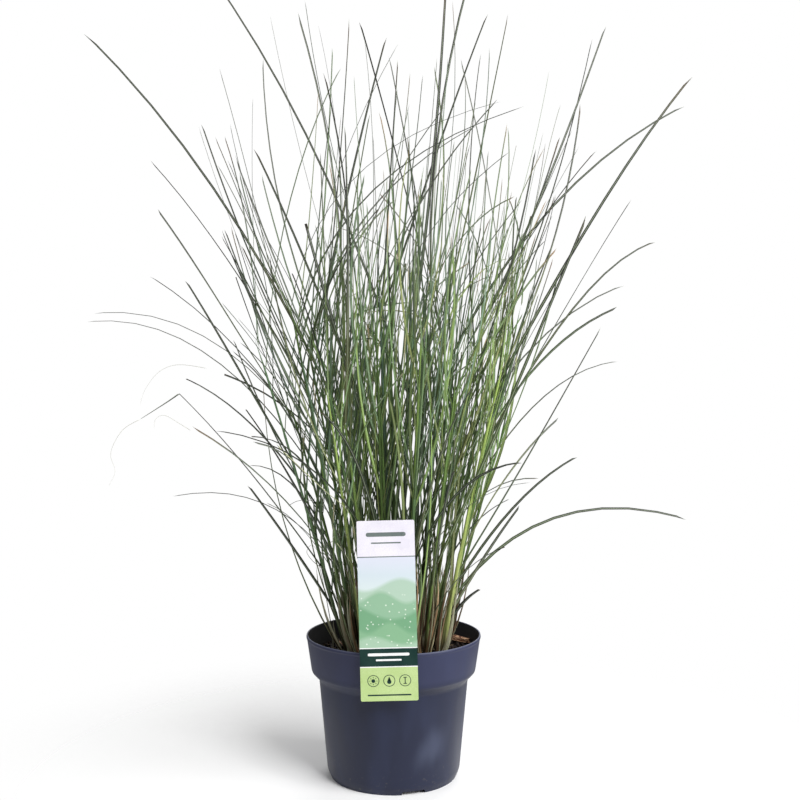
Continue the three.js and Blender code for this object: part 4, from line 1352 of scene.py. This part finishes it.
def make_leafy_stem(number, stem, loose):
    """One leafy stem: the sheathed stem, its leaves, finer leaves among them, and dead sheaths. loose
    holds its rows of LOOSE_LEAVES, each with its place on the stem."""
    rng = random.Random(100 + number)
    bm = grass_mesh()
    right = clamp((stem.base[0] - CROWN_X) / CROWN_RADIUS, -1, 1)
    ruddy = clamp(0.4 + 0.4 * right + rng.uniform(-0.25, 0.25), 0, 1)
    tone = clamp(rng.gauss(0.42, 0.18) + 0.12 * max(0, right), 0, 1)
    girth = rng.uniform(1.0, 1.2)
    lightness = rng.uniform(0.5, 1.25)
    if number == STOUT_STEM:
        tone, girth, ruddy, lightness = 0.76, 1.6, 0.1, 1.3
    add_stem(bm, stem, tone, ruddy, girth, lightness)
    for _ in range(BASAL_SHEATHS):
        add_basal_sheath(bm, stem, rng, ruddy)
    for leaf in stem.leaves:
        add_packed_leaf(bm, leaf, tone, rng)
    fine = FINE_LEAVES + (1 if right > 0 else -1)
    crossing = CROSSING_LEAVES if abs(stem.base[0] - CROWN_X) > 20 else 0
    shoots = CORE_SHOOTS if in_core(stem) else BASE_SHOOTS if right < 0.6 else 0
    for kind, count in ((fine_leaf, fine), (crossing_leaf, crossing), (base_shoot, shoots)):
        for _ in range(count):
            leaf = kind(stem, rng)
            if is_open(leaf):
                dry = rng.choice((0, 0, 0, 0, 0, 0, 0.15, 0.3))
                shade = clamp(tone + rng.gauss(0, 0.25), 0, 1)
                dusk = rng.uniform(0.3, 1) if kind is crossing_leaf else rng.uniform(0, 0.45)
                add_blade(bm, leaf, shade, dry, dusk, rng.uniform(0.4, 1.5))
    for row, u in loose:
        dusk = rng.uniform(0.5, 1)
        add_blade(bm, loose_leaf(row, stem, u, rng), tone, 0, dusk, rng.uniform(0.7, 1.1) + 0.5 * row[-1])
    bmesh.ops.recalc_face_normals(bm, faces=bm.faces)
    name = f"{number + 1:02d}"
    piece_from(bm, "grass_" + name, ("blade", "sheath"), "leaf", "leafy_stem_" + name)


def card_point(x, z, depth=0.0):
    """A point on the card's front, x from its middle line, z from its foot and depth before it, given
    in millimetres and returned in metres."""
    shift = CARD_X + (CARD_HEIGHT / 2) * math.sin(CARD_LEAN)
    front = Vector((x, -CARD_THICKNESS / 2 - depth, z)) * MM
    foot = Vector((shift, CARD_BACK - CARD_THICKNESS / 2, CARD_FOOT)) * MM
    return Matrix.Translation(foot) @ LEANING @ front


def make_card():
    """The label: a printed card with rounded corners, the bridge over the rim, and the stake."""
    bm = bmesh.new()
    block(bm, (0, 0, CARD_HEIGHT / 2), (CARD_WIDTH, CARD_THICKNESS, CARD_HEIGHT))
    rounded(bm, bm.edges, 1, CARD_THICKNESS, CARD_CORNER, 4)
    names = list(dict.fromkeys(("card_white", *(name for name, _ in CARD_BANDS))))
    level = 0
    bounds = []
    for name, height in CARD_BANDS:
        level += height
        bounds.append((level, names.index(name)))
        if level < CARD_HEIGHT:
            bmesh.ops.bisect_plane(bm, geom=bm.verts[:] + bm.edges[:] + bm.faces[:],
                                   plane_co=(0, 0, level * MM), plane_no=(0, 0, 1))
    for face in bm.faces:
        if face.normal.y < -0.9:
            middle = face.calc_center_median().z / MM
            face.material_index = next(index for top, index in bounds if middle < top)
    shift = card_point(0, 0) - Vector((0, -CARD_THICKNESS / 2 * MM, 0))
    bmesh.ops.transform(bm, matrix=Matrix.Translation(shift) @ LEANING, verts=bm.verts)
    run = Vector((0, STAKE_TOP_Y - STAKE_FOOT_Y, BRIDGE_TOP - STAKE_FOOT))
    middle = (CARD_X, (STAKE_TOP_Y + STAKE_FOOT_Y) / 2, (BRIDGE_TOP + STAKE_FOOT) / 2)
    block(bm, middle, (STAKE_WIDTH, CARD_THICKNESS, run.length),
          Matrix.Rotation(math.atan2(-run.y, run.z), 4, "X"))
    depth = STAKE_TOP_Y - CARD_BACK + CARD_THICKNESS
    middle = (CARD_X, CARD_BACK - CARD_THICKNESS / 2 + depth / 2, BRIDGE_TOP - CARD_THICKNESS / 2)
    block(bm, middle, (STAKE_WIDTH, depth, CARD_THICKNESS))
    piece_from(bm, "label_card", names, "label_plastic", "label", bend=30)


def printed_bar(bm, x, z, width, height, corner, ink, layer=1):
    """A rounded bar of ink on the card, round where its corner is half its height. Each layer of ink
    lies on the one below."""
    made = block(bm, (0, 0, 0), (width, INK, height))
    faces = {face for vert in made for face in vert.link_faces}
    edges = dict.fromkeys(edge for vert in made for edge in vert.link_edges)
    verts = {vert for face in [*rounded(bm, edges, 1, INK, corner, 5), *faces] if face.is_valid
             for vert in face.verts}
    middle = card_point(x, z, depth=INK * (layer - 0.5))
    bmesh.ops.transform(bm, matrix=Matrix.Translation(middle) @ LEANING, verts=list(verts))
    for face in {face for vert in verts for face in vert.link_faces}:
        face.material_index = PRINT_INKS.index(ink)


def make_print():
    """Plain print on the card: bars where words would be, and three round signs for sun, water and
    height."""
    bm = bmesh.new()
    for bar in PRINTED_BARS:
        printed_bar(bm, *bar)
    for x in SIGNS_X:
        printed_bar(bm, x, SIGNS_Z, 12, 12, 5.9, "card_dark_green")
        printed_bar(bm, x, SIGNS_Z, 10.6, 10.6, 5.2, "card_light_green", 2)
    for i in range(SUN_RAYS):
        angle = 2 * math.pi * i / SUN_RAYS
        at = (SIGNS_X[0] + SUN_REACH * math.cos(angle), SIGNS_Z + SUN_REACH * math.sin(angle))
        printed_bar(bm, *at, 0.9, 0.9, 0.4, "card_dark_green", 3)
    for bar in SIGN_BARS:
        printed_bar(bm, *bar, "card_dark_green", 3)
    piece_from(bm, "label_print", PRINT_INKS, "label_plastic", bend=30)


def on_curve(points, t):
    """The point at t, from 0 to 1, of a smooth curve through all the points."""
    spans = len(points) - 1
    i = min(int(t * spans), spans - 1)
    s = t * spans - i
    a, b, c, d = (np.array(points[clamp(k, 0, spans)], float) for k in (i - 1, i, i + 1, i + 2))
    return 0.5 * (2 * b + (c - a) * s + (2 * a - 5 * b + 4 * c - d) * s * s
                  + (3 * b - a - 3 * c + d) * s ** 3)


def make_wisps():
    """Dead tips, a creased blade end and curled threads, as thin three-sided growth."""
    bm = grass_mesh()
    for points, width, colours in WISPS:
        def place(side, t):
            ahead = unit(on_curve(points, min(1, t + 0.01)) - on_curve(points, max(0, t - 0.01)))
            across = unit(np.cross(ahead, (0.2, 1, 0.1)))
            beside = np.cross(ahead, across)
            angle = 2 * math.pi * side / 3
            half = 0.5 * width * (1 - 0.75 * t)
            off = across * (half * math.cos(angle)) + beside * (0.4 * half * math.sin(angle))
            return on_curve(points, t) + off

        rolled(bm, 3, even(20), place, lambda t: (*colours, 1.0))
    bmesh.ops.recalc_face_normals(bm, faces=bm.faces)
    piece_from(bm, "dry_wisps", ("blade",), "leaf")


def make_fibres():
    """Fine roots and peat threads that lie on the compost."""
    rng = random.Random(23)
    bm = grass_mesh()
    for _ in range(FIBRE_COUNT):
        x, y = scattered(rng, 10, SOIL_EDGE - 8)
        heading = rng.uniform(0, 2 * math.pi)
        points = []
        for _ in range(4):
            points.append((x, y, soil_height(x, y) + rng.uniform(0.6, 2.4)))
            heading += rng.uniform(-0.9, 0.9)
            x += rng.uniform(2, 5) * math.cos(heading)
            y += rng.uniform(2, 5) * math.sin(heading)
        width = rng.uniform(0.4, 0.9)

        def place(side, t):
            angle = 2 * math.pi * side / 3
            return on_curve(points, t) + np.array((0, math.cos(angle), math.sin(angle))) * (0.5 * width)

        rolled(bm, 3, even(6), place, lambda t: (0, 1, 0, 1))
    bmesh.ops.recalc_face_normals(bm, faces=bm.faces)
    piece_from(bm, "compost_fibres", ("fibre",), "compost")


def paper_floor():
    """Matt white background paper, clear towards its edge so that no horizon shows."""
    bm = bmesh.new()
    bmesh.ops.create_circle(bm, cap_ends=True, segments=96, radius=FLOOR_RADIUS)
    floor = placed(bm, "paper_floor")
    material, tree = finish_of("background_paper")
    place = add(tree, "TexCoord", give="Object")
    far = add(tree, "VectorMath", (place,), operation="LENGTH", give="Value")
    fade = add(tree, "MapRange", (far, *FLOOR_FADE, 1.0, 0.0), interpolation_type="SMOOTHSTEP")
    floor.data.materials.append(dressed(material, Base_Color="#f4f4f4", Roughness=0.9, Alpha=fade))


def white_surround():
    """A surround that is white to the camera and dimmer as a light."""
    world = bpy.data.worlds.new("white_surround")
    bpy.context.scene.world = world
    world.use_nodes = True
    tree = world.node_tree
    light = tree.nodes["Background"]
    plug(tree, light, {"Color": (1, 1, 1, 1), "Strength": SURROUND_LIGHT})
    white = add(tree, "Background", {"Color": (1, 1, 1, 1), "Strength": 1.0})
    seen = add(tree, "LightPath", give="Is Camera Ray")
    mixed = add(tree, "MixShader", (seen, light.outputs[0], white))
    plug(tree, tree.nodes["World Output"], {"Surface": mixed})


def studio():
    """A pale floor that fades into a white surround, soft lights and the photograph's camera."""
    paper_floor()
    white_surround()
    for name, place, side, power in SOFTBOXES:
        lamp = bpy.data.lights.new(name, "AREA")
        lamp.size = side
        lamp.energy = power
        box = bpy.data.objects.new(name, lamp)
        box.location = place
        aim = Vector(SOFTBOX_TARGET) - Vector(place)
        box.rotation_euler = aim.to_track_quat("-Z", "Y").to_euler()
        bpy.context.scene.collection.objects.link(box)

    camera = bpy.data.objects.new("camera", bpy.data.cameras.new("camera"))
    camera.data.lens = CAMERA_LENS
    camera.data.sensor_width = CAMERA_SENSOR
    camera.location = CAMERA_AT
    camera.rotation_euler = (math.pi / 2 - CAMERA_DIP, 0, 0)
    bpy.context.scene.collection.objects.link(camera)
    bpy.context.scene.camera = camera
    bpy.context.scene.view_settings.view_transform = "Standard"


studio()
noise.seed_set(NOISE_SEED)
draw = Draws(GROWTH_SEED)
rods = Rods(ROD_ROOM)
stems = grow_grass()
make_pot()
make_compost()
make_bark(draw)
make_crumbs("compost_crumbs", "compost", CRUMB_COUNT, (1.0, 2.6), 0.6, 3)
make_crumbs("perlite_grains", "grit", GRIT_COUNT, (0.6, 1.5), 0.7, 4, lean=0.7)
make_fibres()
make_card()
make_print()
loose_leaves = [(row, *best_stem(stems, row)) for row in LOOSE_LEAVES]
for number, stem in enumerate(stems):
    make_leafy_stem(number, stem, [(row, u) for row, grower, u in loose_leaves if grower is stem])
make_wisps()
